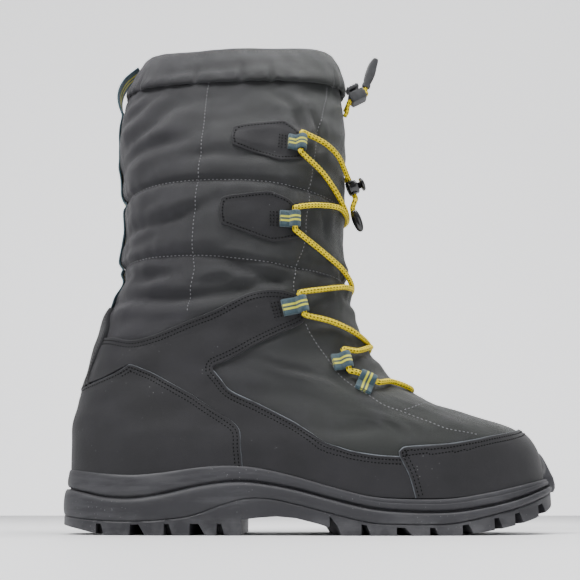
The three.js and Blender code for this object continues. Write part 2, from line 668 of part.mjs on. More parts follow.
const VAMP_ROUTE = [[4.72, -0.52], [4.6, -0.2], [4.6, 0.2], [4.72, 0.52]];
addPiece('lace_vamp_bar', cord([
  eyeExit(frames.get(-1)[FIFTH], -1), eyeExit(frames.get(-1)[FIFTH], -1, LEAD),
  ...overUpper(VAMP_ROUTE, -1),
  eyeExit(frames.get(1)[FIFTH], -1, LEAD), eyeExit(frames.get(1)[FIFTH], -1),
], LACE_DIAMETER), laceCord);

// ---------------------------------------------------------------- cord locks
const BODY_BEVEL = 0.6;
const BUTTON_GAP = 2.3; // between the body and the button's head when nothing presses it
const STEM_RADIUS = 2.3;
const CHANNEL_HEIGHT = 4.2;
const CHANNEL_FLOOR = 0.8; // body left under the cord's channel

const circle = (radius) => new THREE.Shape().absarc(0, 0, radius, 0, 2 * Math.PI, false);

// Rounded rectangle about the origin.
function block(width, depth, corner) {
  const [w, d] = [width / 2, depth / 2];
  const shape = new THREE.Shape();
  shape.moveTo(-w + corner, -d);
  shape.lineTo(w - corner, -d);
  shape.quadraticCurveTo(w, -d, w, -d + corner);
  shape.lineTo(w, d - corner);
  shape.quadraticCurveTo(w, d, w - corner, d);
  shape.lineTo(-w + corner, d);
  shape.quadraticCurveTo(-w, d, -w, d - corner);
  shape.lineTo(-w, -d + corner);
  shape.quadraticCurveTo(-w, -d, -w + corner, -d);
  return shape;
}

function slab(shape, bottom, top, bevel) {
  const options = { depth: top - bottom - 2 * bevel, curveSegments: 4, bevelEnabled: bevel > 0, bevelSegments: 1,
    bevelThickness: bevel, bevelSize: bevel, bevelOffset: -bevel };
  return new THREE.ExtrudeGeometry(shape, options).translate(0, 0, bottom + bevel);
}

// A cord lock stands on its body's bottom, the button above it along local z, and the cord's
// channel runs along local y. The body's outline and the head's outline differ from lock to lock.
function lockBody({ outline, length, channelWidth }) {
  const middle = CHANNEL_FLOOR + CHANNEL_HEIGHT / 2;
  const body = toManifold(slab(outline, 0, length, BODY_BEVEL));
  const channel = slab(block(channelWidth, CHANNEL_HEIGHT, CHANNEL_HEIGHT / 2.2), -20, 20, 0);
  channel.rotateX(Math.PI / 2);
  channel.translate(0, 0, middle);
  const bore = slab(circle(STEM_RADIUS + GAP), middle, length + 1, 0);
  return body.subtract(toManifold(channel)).subtract(toManifold(bore));
}

function lockButton({ head, length, headHeight }) {
  const stemFoot = CHANNEL_FLOOR + CHANNEL_HEIGHT + GAP;
  const headFoot = length + BUTTON_GAP;
  return toManifold(slab(circle(STEM_RADIUS), stemFoot, headFoot + 0.5, 0))
    .add(toManifold(slab(head, headFoot, headFoot + headHeight, BODY_BEVEL)));
}

// at: middle of the body's channel. press: from the body towards the head. channel: cord's way.
function lockMatrix({ at, press, channel }) {
  const z = press.clone().normalize();
  const y = channel.clone().projectOnPlane(z).normalize();
  const x = y.clone().cross(z);
  const matrix = new THREE.Matrix4().makeBasis(x, y, z).setPosition(at);
  return matrix.multiply(new THREE.Matrix4().makeTranslation(0, 0, -CHANNEL_FLOOR - CHANNEL_HEIGHT / 2));
}

function addLock(name, lock, material) {
  const matrix = lockMatrix(lock);
  addPiece(`${name}_body`, toGeometry(lockBody(lock)).applyMatrix4(matrix), material);
  addPiece(`${name}_button`, toGeometry(lockButton(lock)).applyMatrix4(matrix), material);
}

// Middle of the body's channel mouth, on the side that `way` names, offset along local x.
function channelMouth(lock, way, offset, beyond = 0) {
  const x = vec(0, 0, 0);
  const y = vec(0, 0, 0);
  const z = vec(0, 0, 0);
  lockMatrix(lock).extractBasis(x, y, z);
  return lock.at.clone().addScaledVector(y, way * (lock.reach + GAP + beyond)).addScaledVector(x, offset);
}

const LACE_LOCK = {
  at: vec(182.4, -8, 226.4), press: vec(0.93, 0, 0.37), channel: vec(-0.3, -0.15, 0.82),
  outline: circle(4.9), head: circle(4.7), length: 7.4, headHeight: 2.4, channelWidth: 7.6, reach: 4.9,
};
const COLLAR_LOCK = {
  at: vec(188.6, -3, 296.2), press: vec(-0.47, 0, 0.88), channel: vec(0.88, 0, 0.47),
  outline: block(10, 11, 1.2), head: block(8, 9.4, 1), length: 7.6, headHeight: 2.4, channelWidth: 7, reach: 5.5,
};
addLock('lace_lock', LACE_LOCK, glossPlastic);
addLock('collar_lock', COLLAR_LOCK, mattPlastic);

// ---------------------------------------------------------------- free ends of the lace
const ENDS_APART = 1.95; // the two ends lie side by side in the lock
const END_ROUTES = [
  ['lateral', -1, [[12.13, -0.89], [12.0, -0.68], [11.8, -0.48]]],
  ['medial', 1, [[12.13, -0.89], [12.0, -0.68], [11.85, -0.42], [11.7, -0.12]]],
];
for (const [name, side, route] of END_ROUTES) {
  const first = frames.get(side)[0];
  const mouth = (beyond) => channelMouth(LACE_LOCK, 1, side * ENDS_APART, beyond);
  addPiece(`lace_end_${name}`, cord([
    eyeExit(first, 1), eyeExit(first, 1, LEAD), ...overUpper(route, side), mouth(2.5), mouth(0),
  ], LACE_DIAMETER), laceCord);
}

const BEAD_TOP = vec(183.2, -11, 209);
const BEAD_AXIS = vec(0.34, 0, -1).normalize();
addPiece('lace_tail', cord([
  channelMouth(LACE_LOCK, -1, 0), channelMouth(LACE_LOCK, -1, 0, 2.5), vec(184.3, -11.6, 216),
  BEAD_TOP.clone().addScaledVector(BEAD_AXIS, -GAP - 1.5), BEAD_TOP.clone().addScaledVector(BEAD_AXIS, -GAP),
], LACE_DIAMETER), laceCord);

// Oval bead that clamps the lace's end: [radius, distance from its top], from the tip up.
function laceBead() {
  const profile = [[0, 15.5], [1.2, 15], [2.4, 13.4], [3.1, 10], [3.15, 6], [2.7, 2.2], [2.1, 0], [0, 0]]
    .map(([radius, along]) => new THREE.Vector2(radius, -along));
  const bead = new THREE.LatheGeometry(profile, 12);
  const turn = new THREE.Quaternion().setFromUnitVectors(vec(0, -1, 0), BEAD_AXIS);
  return bead.applyQuaternion(turn).translate(BEAD_TOP.x, BEAD_TOP.y, BEAD_TOP.z);
}

addPiece('lace_bead', laceBead(), glossPlastic);

// ---------------------------------------------------------------- collar drawcord
const DRAWCORD_DIAMETER = 3;
const TAB_FOOT = vec(194.2, -3, 304.4);
const TAB_LEAN = -0.3; // radians that the tab leans forward
const TAB_THICKNESS = 3.6;

// The two legs leave the front of the collar under the cuff's hem.
addPiece('collar_cord_upper', cord([
  vec(180.6, -1.3, 289.5), vec(181.1, -1.3, 291.4),
  channelMouth(COLLAR_LOCK, -1, -1.7, 1.2), channelMouth(COLLAR_LOCK, -1, -1.7),
], DRAWCORD_DIAMETER), laceCord);
addPiece('collar_cord_lower', cord([
  vec(180.4, -4.8, 284.5), vec(180.9, -4.7, 288.5),
  channelMouth(COLLAR_LOCK, -1, 1.7, 1.4), channelMouth(COLLAR_LOCK, -1, 1.7),
], DRAWCORD_DIAMETER), laceCord);
addPiece('collar_cord_neck', cord([
  channelMouth(COLLAR_LOCK, 1, 0), channelMouth(COLLAR_LOCK, 1, 0, 0.8),
  TAB_FOOT.clone().add(vec(-0.25, 0, -0.9)), TAB_FOOT.clone().add(vec(0, 0, -GAP)),
], DRAWCORD_DIAMETER), laceCord);

// Moulded pull tab, waisted near its foot, that clamps the drawcord's end.
function collarTab() {
  const shape = new THREE.Shape();
  shape.moveTo(-2.6, 0);
  shape.lineTo(2.6, 0);
  shape.quadraticCurveTo(2.5, 4, 3.1, 8);
  shape.quadraticCurveTo(3.6, 13, 2.8, 18);
  shape.lineTo(2.4, 24);
  shape.lineTo(-1.2, 24);
  shape.quadraticCurveTo(-2.9, 20, -3.2, 13);
  shape.quadraticCurveTo(-3.4, 7, -2.6, 0);
  const tab = new THREE.ExtrudeGeometry(shape, { depth: TAB_THICKNESS - 1, curveSegments: 4, bevelSegments: 1,
    bevelThickness: 0.5, bevelSize: 0.5, bevelOffset: -0.5 });
  tab.translate(0, 0, 0.5 - TAB_THICKNESS / 2);
  tab.rotateX(Math.PI / 2);
  tab.rotateY(-TAB_LEAN);
  return tab.translate(TAB_FOOT.x, TAB_FOOT.y, TAB_FOOT.z);
}

addPiece('collar_tab', collarTab(), mattPlastic);

export default boot;
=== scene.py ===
"""Looks of a padded winter boot for the right foot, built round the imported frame.

Lengths are millimetres in the last's own frame until a mesh is written: x runs from the heel's back
towards the toe, y from the last's centre line to the inner side, z up from the floor. Writing a mesh
moves the points to the row frame, in metres.
"""
import logging
import math
from dataclasses import dataclass, field
from enum import Enum

import bmesh
import bpy
import numpy as np
from mathutils import Euler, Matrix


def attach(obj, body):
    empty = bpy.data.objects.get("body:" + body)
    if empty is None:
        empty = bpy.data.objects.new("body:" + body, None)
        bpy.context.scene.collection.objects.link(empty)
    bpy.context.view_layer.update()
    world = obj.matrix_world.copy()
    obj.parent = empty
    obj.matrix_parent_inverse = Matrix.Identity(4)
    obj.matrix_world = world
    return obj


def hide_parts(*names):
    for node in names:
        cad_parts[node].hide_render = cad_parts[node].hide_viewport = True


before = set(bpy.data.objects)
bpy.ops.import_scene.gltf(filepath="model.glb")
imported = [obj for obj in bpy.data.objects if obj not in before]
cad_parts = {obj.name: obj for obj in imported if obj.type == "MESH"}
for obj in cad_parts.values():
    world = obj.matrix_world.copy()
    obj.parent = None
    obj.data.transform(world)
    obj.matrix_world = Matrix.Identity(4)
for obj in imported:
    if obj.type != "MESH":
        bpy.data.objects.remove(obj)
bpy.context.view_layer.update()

LOG = logging.getLogger("snow_boot")
Array = np.ndarray
CENTRE = np.array([153.8, 2.7, 0.0])
DOMAIN = (16.0, 46.0)  # millimetres for each level and for each radian on the foot
CREASE_STRENGTH = 1.55
BOOT = "boot"


# ------------------------------------------------------------------ tables and curves
def smooth_table(knots: Array, values: Array, at: Array) -> Array:
    """Cubic Hermite through the rows of a table, with central slopes and one-sided ends.

    Args:
        knots: rising places of the rows.
        values: one row of numbers for each knot.
        at: places to work the columns out at.

    Returns:
        The columns at every place, on a last axis.
    """
    last = len(knots) - 1
    at = np.clip(at, knots[0], knots[-1])
    i = np.clip(np.searchsorted(knots, at, side="right") - 1, 0, last - 1)
    low = np.maximum(np.arange(last + 1) - 1, 0)
    high = np.minimum(np.arange(last + 1) + 1, last)
    slopes = (values[high] - values[low]) / (knots[high] - knots[low])[:, None]
    run = (knots[i + 1] - knots[i])[..., None]
    t = (at - knots[i])[..., None] / run
    a, b, sa, sb = values[i], values[i + 1], slopes[i] * run, slopes[i + 1] * run
    return ((2 * t**3 - 3 * t**2 + 1) * a + (t**3 - 2 * t**2 + t) * sa
            + (3 * t**2 - 2 * t**3) * b + (t**3 - t**2) * sb)


def arc_lengths(points: Array) -> Array:
    """Running length along a row of points, from 0."""
    steps = np.linalg.norm(np.diff(points, axis=0), axis=1)
    return np.concatenate([[0.0], np.cumsum(steps)])


def smooth_path(knots: Array, count: int, scale: Array | None = None) -> Array:
    """Centripetal-like smooth curve through knots, sampled evenly.

    Each knot's parameter is the running square root of the chord, and a Hermite curve joins them.

    Args:
        knots: points to pass through.
        count: how many points come back.
        scale: weights of the coordinates when lengths are measured.

    Returns:
        Points on the curve, evenly spaced.
    """
    knots = np.asarray(knots, dtype=float)
    scale = np.ones(knots.shape[1]) if scale is None else np.asarray(scale, dtype=float)
    chords = np.linalg.norm(np.diff(knots, axis=0) * scale, axis=1)
    places = np.concatenate([[0.0], np.cumsum(np.sqrt(np.maximum(chords, 1e-6)))])
    dense = smooth_table(places, knots, np.linspace(0.0, places[-1], 24 * len(knots)))
    run = arc_lengths(dense * scale)
    at = np.linspace(0.0, run[-1], count)
    return np.stack([np.interp(at, run, dense[:, k]) for k in range(knots.shape[1])], axis=1)


def edged(length: float, step: float, rim: tuple[float, ...] = (0.12, 0.3, 0.55, 0.9, 1.4)) -> Array:
    """Values from 0 to 1 with an even step inside and extra ones close to both ends.

    Args:
        length: length in millimetres that 0 to 1 stands for.
        step: even step in millimetres.
        rim: distances from each end that get a value of their own.

    Returns:
        Rising values.
    """
    inner = np.linspace(rim[-1], length - rim[-1], max(3, int(length / step)))
    rims = np.array((0.0,) + rim[:-1])
    return np.concatenate([rims, inner, (length - rims)[::-1]]) / length


def waves(s: Array, z: Array, seed: int, wavelength: float, terms: int = 7) -> Array:
    """Sum of plane waves in random directions, between -1 and 1 or so.

    Args:
        s: distance round the form.
        z: height.
        seed: seed of the directions and phases.
        wavelength: middle wavelength in millimetres.
        terms: how many waves are added.

    Returns:
        The sum, one value for each place.
    """
    random = np.random.default_rng(seed)
    total = np.zeros(np.broadcast(s, z).shape)
    for _ in range(terms):
        turn, phase = random.uniform(0, 2 * np.pi, 2)
        length = wavelength * random.uniform(0.7, 1.5)
        total += np.sin(2 * np.pi * (s * np.cos(turn) + z * np.sin(turn)) / length + phase)
    return total / math.sqrt(terms)


# ------------------------------------------------------------------ the last
@dataclass
class Last:
    """Outer form of the boot: sections stacked from the lasting edge to the collar's rim.

    A place on it is a level, which counts sections, and an angle, 0 at the front and PI at the back,
    positive round the inner side.
    """

    # backX backZ frontX frontZ half widest backPow frontPow waist toeShift sag
    sections: Array = field(default_factory=lambda: np.array([
        [5.5, 33, 300.5, 28, 49, 0.68, 2.7, 2.35, 0.15, 9, 0],
        [4.8, 50, 297, 50, 50, 0.68, 2.7, 2.3, 0.13, 9, 0],
        [4.6, 64, 286, 62, 48, 0.66, 2.6, 2.3, 0.1, 8, 0],
        [7.5, 84, 261, 69.5, 45, 0.62, 2.5, 2.25, 0.07, 7, 0],
        [11, 98, 234, 79, 42.5, 0.58, 2.4, 2.2, 0.04, 5, 0],
        [14.5, 112, 209, 94, 41, 0.52, 2.3, 2.2, 0.02, 3, 0],
        [19, 130, 190.5, 117, 40.5, 0.5, 2.25, 2.2, 0, 1, 0],
        [25.5, 147, 182, 141, 40.5, 0.5, 2.2, 2.2, 0, 0, 0],
        [32, 160, 179, 159, 40, 0.5, 2.2, 2.2, 0, 0, 0],
        [29.5, 172, 177.8, 171, 41.5, 0.5, 2.2, 2.2, 0, 0, 0],
        [30, 195, 176.5, 193, 45, 0.5, 2.2, 2.2, 0, 0, 0],
        [28.3, 219, 177.5, 218, 46, 0.5, 2.2, 2.2, 0, 0, 0],
        [23.3, 249, 178.8, 248, 45, 0.5, 2.2, 2.2, 0, 0, 1],
        [24, 278, 178.8, 278, 40, 0.5, 2.2, 2.2, 0, 0, 3],
        [28, 297, 176.5, 297, 36, 0.5, 2.1, 2.1, 0, 0, 6],
        [37, 325, 171, 330, 31, 0.5, 2, 2, 0, 0, 12],
    ]))
    # x top seam tread ground
    sole: Array = field(default_factory=lambda: np.array([
        [-4, 39.8, 28.8, 11.8, 7.0], [15, 37.2, 25.2, 9.2, 3.4], [30, 35.4, 22.2, 8.0, 0.6],
        [48, 34.4, 21.3, 7.6, 0], [66, 35.7, 23.6, 8.4, 0], [84, 38.2, 27.5, 10.8, 0],
        [100, 39.5, 30, 16.4, 0], [114, 39, 30.5, 20.2, 0], [128, 36.8, 28.9, 20.2, 0],
        [144, 33, 25.8, 17, 0], [163, 27.6, 20.8, 12.2, 0], [186, 21.9, 15.4, 6.9, 0],
        [207, 20.3, 13.4, 6, 0], [233, 20.6, 13.4, 6.4, 0], [256, 23.9, 16.5, 10.8, 2.6],
        [276, 28, 21, 15.6, 6.6], [292, 31.4, 26, 20.8, 11.6], [310, 35.4, 32, 27.4, 20.6],
    ]))
    cup_depth: float = 6.0
    wall: float = 5.0
    waist_centre: float = 0.4
    waist_spread: float = 0.17
    medial_waist: float = 1.25
    lateral_waist: float = 0.75
    shift_start: float = 0.3
    top_level: float = 15.0

    def sole_line(self, column: int, x: Array) -> Array:
        """Height of one of the sole's lines at x: a Hermite curve through the table, at least 0."""
        lines = smooth_table(self.sole[:, 0], self.sole[:, 1:], np.asarray(x, float))
        return np.maximum(lines[..., column - 1], 0)

    def surface(self, level: Array, angle: Array) -> Array:
        """Points of the bare form.

        Each section runs along a straight axis from its back point to its front point. Its half
        width is a superellipse of the reach along that axis, pinched at the arch and swung inwards
        at the toe. The lasting edge follows the sole's top line.
        """
        level, angle = np.broadcast_arrays(np.asarray(level, float), np.asarray(angle, float))
        row = smooth_table(np.arange(16.0), self.sections, np.clip(level, 0, self.top_level))
        (back_x, back_z, front_x, front_z, half, widest,
         back_power, front_power, waist, toe_shift, sag) = np.moveaxis(row, -1, 0)
        cosine = np.cos(angle)
        reach = np.abs(cosine)
        side = np.sign(np.sin(angle))
        front = cosine >= 0
        along = np.where(front, widest + (1 - widest) * reach, widest - widest * reach)
        power = np.where(front, front_power, back_power)
        bulge = np.maximum(1 - reach**power, 0) ** (1 / power)
        pinch = np.exp(-(((along - self.waist_centre) / self.waist_spread) ** 2))
        arch = 1 - waist * np.where(side > 0, self.medial_waist, self.lateral_waist) * pinch
        swing = np.clip((along - self.shift_start) / (1 - self.shift_start), 0, 1) ** 2
        x = back_x + (front_x - back_x) * along
        y = side * half * bulge * arch + toe_shift * swing
        flat = back_z + (front_z - back_z) * along - sag * bulge**2
        edge = self.sections[0]
        wave = self.sole_line(1, x) - self.cup_depth - (edge[1] + (edge[3] - edge[1]) * along)
        return np.stack([x, y, flat + wave * np.clip(1 - level, 0, 1)], axis=-1)

    def normal(self, level: Array, angle: Array) -> Array:
        """Outward unit normals of the bare form, level at the lasting edge."""
        level, angle = np.broadcast_arrays(np.asarray(level, float), np.asarray(angle, float))
        up = (self.surface(np.minimum(level + 0.02, self.top_level), angle)
              - self.surface(np.maximum(level - 0.02, 0), angle))
        around = self.surface(level, angle + 0.04) - self.surface(level, angle - 0.04)
        normal = np.cross(around, up)
        normal /= np.linalg.norm(normal, axis=-1, keepdims=True)
        normal[..., 2] *= np.clip(level, 0, 1)
        return normal / np.linalg.norm(normal, axis=-1, keepdims=True)

    def lifted(self, level: Array, angle: Array, lift: Array | float) -> Array:
        """Points at a distance from the bare form."""
        lift = np.asarray(lift, float)
        return self.surface(level, angle) + self.normal(level, angle) * lift[..., None]


LAST = Last()


@dataclass(frozen=True)
class Crease:
    """Soft trough pressed into the padding, with a low ridge along each side.

    Attributes:
        places: (height, angle) pairs that it runs through, angle on the outer side's scale.
        depth: depth of the trough in millimetres.
        width: half width of the trough.
        ridge: height of the ridges beside it, as a share of the depth.
    """

    places: tuple[tuple[float, float], ...]
    depth: float
    width: float
    ridge: float = 0.45


@dataclass
class Padding:
    """Relief of the quilted shell over the bare form, in millimetres along the normal."""

    round_radius: float = 58.0
    quilt_depth: float = 2.1
    quilt_width: float = 2.4
    seam_depth: float = 0.55
    creases: tuple[Crease, ...] = (
        Crease(((246, -2.9), (251, -2.6), (260, -2.32), (279, -2.05)), 1.9, 5.0),
        Crease(((236, -3.0), (239, -2.75), (244.6, -2.32), (247, -2.04), (249.5, -1.81)), 2.0, 4.6),
        Crease(((237, -1.95), (235.8, -1.48), (237, -1.04)), 1.0, 4.5),
        Crease(((269, -2.95), (272, -2.6), (283, -2.3)), 1.0, 4.0),
        Crease(((190, -2.95), (191.5, -2.7), (192.2, -2.25), (197.3, -1.93), (205, -1.7)), 2.2, 4.4),
        Crease(((179, -2.9), (180, -2.7), (184, -2.24), (187, -1.95)), 1.2, 4.0),
        Crease(((146, -2.9), (145.3, -2.47), (142.5, -2.12), (144, -1.82), (149, -1.42), (156, -1.1)), 2.6,
               4.6, 0.6),
        Crease(((156, -2.75), (157, -2.38), (158.5, -2.1)), 1.6, 4.5),
        Crease(((151, -2.05), (152, -1.8), (155, -1.55)), 1.2, 3.2),
        Crease(((168, -1.7), (162, -1.5), (156.4, -1.3), (150, -1.0)), 1.8, 4.0, 0.6),
        Crease(((272.4, -1.0), (263.4, -0.95), (252.7, -0.88)), 1.2, 4.0),
        Crease(((283, -1.22), (276, -1.05), (268, -0.98)), 0.8, 3.4),
        Crease(((274, -0.84), (257, -0.72), (241, -0.7)), 1.3, 3.0),
        Crease(((205, -0.7), (196, -0.6), (186, -0.62)), 1.1, 3.4),
        Crease(((166, -0.45), (160, -0.2), (158, 0.1), (161, 0.4)), 1.7, 3.6),
        Crease(((149, -0.5), (146, -0.2), (146, 0.2), (149, 0.5)), 1.3, 3.4),
        Crease(((112, -0.55), (109, -0.25), (109, 0.2), (113, 0.5)), 1.1, 3.4),
        Crease(((102, -1.5), (96, -1.3), (94, -1.15)), 0.7, 3.2),
        Crease(((56, -1.72), (60, -1.62), (66, -1.53)), 0.7, 2.6),
        Crease(((53, -1.58), (58, -1.5), (66, -1.43)), 0.8, 2.6),
        Crease(((53, -1.46), (59, -1.38), (65, -1.32)), 0.5, 2.4),
    )
    # angle, level of the upper quilting line, level of the lower one
    quilt_lines: Array = field(default_factory=lambda: np.array([
        [0.0, 10.72, 7.98], [0.43, 10.76, 8.03], [0.76, 10.84, 8.2], [0.98, 10.9, 8.24], [1.28, 10.97, 8.5],
        [1.7, 11.0, 8.8], [2.3, 10.96, 8.9], [2.79, 10.86, 8.86], [3.1416, 10.84, 8.85],
    ]))
    # level, angle of the side seam, angle of the front seam
    seam_lines: Array = field(default_factory=lambda: np.array([
        [6.3, 1.88, 0.96], [7.4, 1.9, 1.02], [8.7, 1.9, 0.96], [9.3, 1.895, 0.88], [10.2, 1.88, 0.83],
        [11.1, 1.84, 0.8], [11.7, 1.8, 0.755], [12.4, 1.775, 0.70], [13.0, 1.775, 0.63], [14.2, 1.775, 0.49],
    ]))

    def quilt_level(self, which: int, angle: Array) -> Array:
        """Level of one quilting line at an angle: a smooth curve through the table."""
        lines = self.quilt_lines
        return smooth_table(lines[:, 0], lines[:, 1:], np.abs(wrapped(angle)))[..., which]

    def seam_angle(self, which: int, level: Array) -> Array:
        """Angle of the side seam, 0, or of the front seam, 1, at a level."""
        return smooth_table(self.seam_lines[:, 0], self.seam_lines[:, 1:], level)[..., which]

    def relief(self, level: Array, angle: Array, height: Array) -> Array:
        """Height of the dressed surface over the bare one.

        Troughs along the quilting lines with puckers beside them, shallow troughs along the seams,
        the creases, and slow waves, all faded out towards the sole and under the cuff.

        Args:
            level: level of each point.
            angle: angle of each point.
            height: its z on the bare form.

        Returns:
            Relief in millimetres.
        """
        angle = wrapped(angle)
        size = np.abs(angle)
        s = angle * self.round_radius
        per_level = np.interp(level, np.arange(16.0),
                              [14, 14, 14, 15, 15, 16, 17, 15, 12, 15, 23, 27, 29, 24, 24, 28])
        total = 0.7 * waves(s, height, 3, 70) + 0.42 * waves(s, height * 1.6, 5, 27)
        total += 0.09 * waves(s, height, 8, 10)
        for which in (0, 1):
            off = (level - self.quilt_level(which, angle)) * per_level
            beside = np.exp(-np.abs(off) / 9.0)
            total -= self.quilt_depth * np.exp(-((off / self.quilt_width) ** 2))
            total += 0.9 * np.exp(-(((np.abs(off) - 8) / 6.5) ** 2))
            pucker = np.sin(s / 1.55 + 2.2 * np.sin(s / 9.0 + which))
            total += 0.34 * beside * pucker * np.clip(np.abs(off) / 3, 0, 1)
        shaft = smooth_step((level - 6.0) / 1.0)
        for which in (0, 1):
            off = (size - self.seam_angle(which, level)) * 42
            total -= self.seam_depth * np.exp(-((off / 1.3) ** 2)) * shaft
            total += 0.12 * np.exp(-np.abs(off) / 4) * np.sin(height / 1.4) * shaft
        for crease in self.creases:
            total += crease_relief(crease, s, height, self.round_radius)
        total += 2.4 * np.exp(-(((level - 3.4) / 1.3) ** 2)) * smooth_step((np.cos(angle) - 0.35) / 0.5)
        fade = smooth_step((level - 0.9) / 1.2) * smooth_step((14.25 - level) / 0.35)
        return total * fade

    def dressed(self, level: Array, angle: Array, lift: Array | float = 0.0, share: float = 1.0) -> Array:
        """Points over the dressed surface.

        Args:
            level: levels.
            angle: angles.
            lift: distance over the dressed surface.
            share: share of the relief that the piece follows.

        Returns:
            Points in millimetres.
        """
        level, angle = np.broadcast_arrays(np.asarray(level, float), np.asarray(angle, float))
        bare = LAST.surface(level, angle)
        over = self.relief(level, angle, bare[..., 2]) * share + lift
        return bare + LAST.normal(level, angle) * over[..., None]


def wrapped(angle: Array) -> Array:
    """The angle brought between -PI and PI."""
    return (np.asarray(angle, float) + np.pi) % (2 * np.pi) - np.pi


def smooth_step(value: Array) -> Array:
    """Smooth rise from 0 to 1 as the value goes from 0 to 1."""
    value = np.clip(value, 0, 1)
    return value * value * (3 - 2 * value)


def crease_relief(crease: Crease, s: Array, height: Array, radius: float) -> Array:
    """Relief of one crease on both sides of the boot.

    The distance to its line gives a bell-shaped trough with a wider, lower ridge round it, and the
    depth falls off towards both ends. The inner side's copy is moved a little and is shallower.

    Args:
        crease: the crease.
        s: distance round the form.
        height: z of each point.
        radius: millimetres for each radian.

    Returns:
        Relief in millimetres.
    """
    line = smooth_path(np.array(crease.places), 14, np.array([1.0, radius]))
    total = np.zeros(s.shape)
    for mirror, rise, share in ((1.0, 0.0, 1.0), (-1.04, 5.0, 0.8)):
        at = np.stack([line[:, 1] * radius * mirror, line[:, 0] + rise], axis=1)
        best = np.full(s.shape, 1e9)
        place = np.zeros(s.shape)
        for k in range(len(at) - 1):
            step = at[k + 1] - at[k]
            t = np.clip(((s - at[k, 0]) * step[0] + (height - at[k, 1]) * step[1]) / (step @ step), 0, 1)
            off = np.hypot(s - at[k, 0] - t * step[0], height - at[k, 1] - t * step[1])
            place = np.where(off < best, (k + t) / (len(at) - 1), place)
            best = np.minimum(best, off)
        taper = np.sin(np.pi * np.clip(place, 0.03, 0.97)) ** 0.6
        trough = np.exp(-((best / crease.width) ** 2))
        ridge = np.exp(-(((best - 1.9 * crease.width) / (1.1 * crease.width)) ** 2))
        total += CREASE_STRENGTH * share * crease.depth * taper * (crease.ridge * ridge - trough)
    return total


PADDING = Padding()


# ------------------------------------------------------------------ meshes
def grid_quads(rows: int, columns: int, wrap: bool = False, flip: bool = False) -> Array:
    """Quads of a grid of points given row by row.

    Args:
        rows: number of rows.
        columns: points in a row.
        wrap: whether the last column joins the first.
        flip: turns the faces round.

    Returns:
        Four point indices for each quad.
    """
    i = np.arange(rows - 1)[:, None]
    j = np.arange(columns if wrap else columns - 1)[None, :]
    a = i * columns + j
    b = i * columns + (j + 1) % columns
    quads = np.stack([a, b, b + columns, a + columns], axis=-1).reshape(-1, 4)
    return quads[:, ::-1] if flip else quads


def grid_uv(u: Array, v: Array) -> Array:
    """UV of each corner of each quad, from the grid's own u and v, one value for each point.

    u and v have one column more than a wrapped grid, so a seam keeps its own values.
    """
    uv = np.stack([u, v], axis=-1)
    corners = np.stack([uv[:-1, :-1], uv[:-1, 1:], uv[1:, 1:], uv[1:, :-1]], axis=2)
    return corners.reshape(-1, 4, 2)


@dataclass
class Sheet:
    """Points, faces and corner UVs that become one mesh."""

    points: Array
    faces: Array
    uv: Array | None = None
    marks: dict[str, Array] = field(default_factory=dict)


def grid_sheet(points: Array, wrap: bool = False, flip: bool = False, u: Array | None = None,
               v: Array | None = None, marks: dict[str, Array] | None = None, capped: bool = False) -> Sheet:
    """Sheet from a grid of points, rows by columns.

    Args:
        points: rows x columns x 3.
        wrap: whether the columns close into a ring.
        flip: turns the faces round.
        u: u of each point, with one more column where the grid wraps.
        v: v of each point, likewise.
        marks: named values, one for each point.
        capped: closes the first and the last ring to their middles.

    Returns:
        The sheet.
    """
    if capped:
        first, last = (np.broadcast_to(points[i].mean(axis=0), points[i].shape)[None] for i in (0, -1))
        points = np.concatenate([first, points, last])
        u, v = (None if value is None else np.concatenate([value[:1], value, value[-1:]]) for value in (u, v))
    rows, columns = points.shape[:2]
    uv = None if u is None else grid_uv(u, v)
    if uv is not None and flip:
        uv = uv[:, ::-1]
    values = {name: value.ravel() for name, value in (marks or {}).items()}
    return Sheet(points.reshape(-1, 3), grid_quads(rows, columns, wrap, flip), uv, values)


def joined(sheets: list[Sheet]) -> Sheet:
    """One sheet made of several."""
    starts = np.cumsum([0] + [len(sheet.points) for sheet in sheets[:-1]])
    points = np.concatenate([sheet.points for sheet in sheets])
    faces = np.concatenate([sheet.faces + start for sheet, start in zip(sheets, starts)])
    uv = None
    if all(sheet.uv is not None for sheet in sheets):
        uv = np.concatenate([sheet.uv for sheet in sheets])
    names = set.intersection(*[set(sheet.marks) for sheet in sheets])
    marks = {name: np.concatenate([sheet.marks[name] for sheet in sheets]) for name in names}
    return Sheet(points, faces, uv, marks)


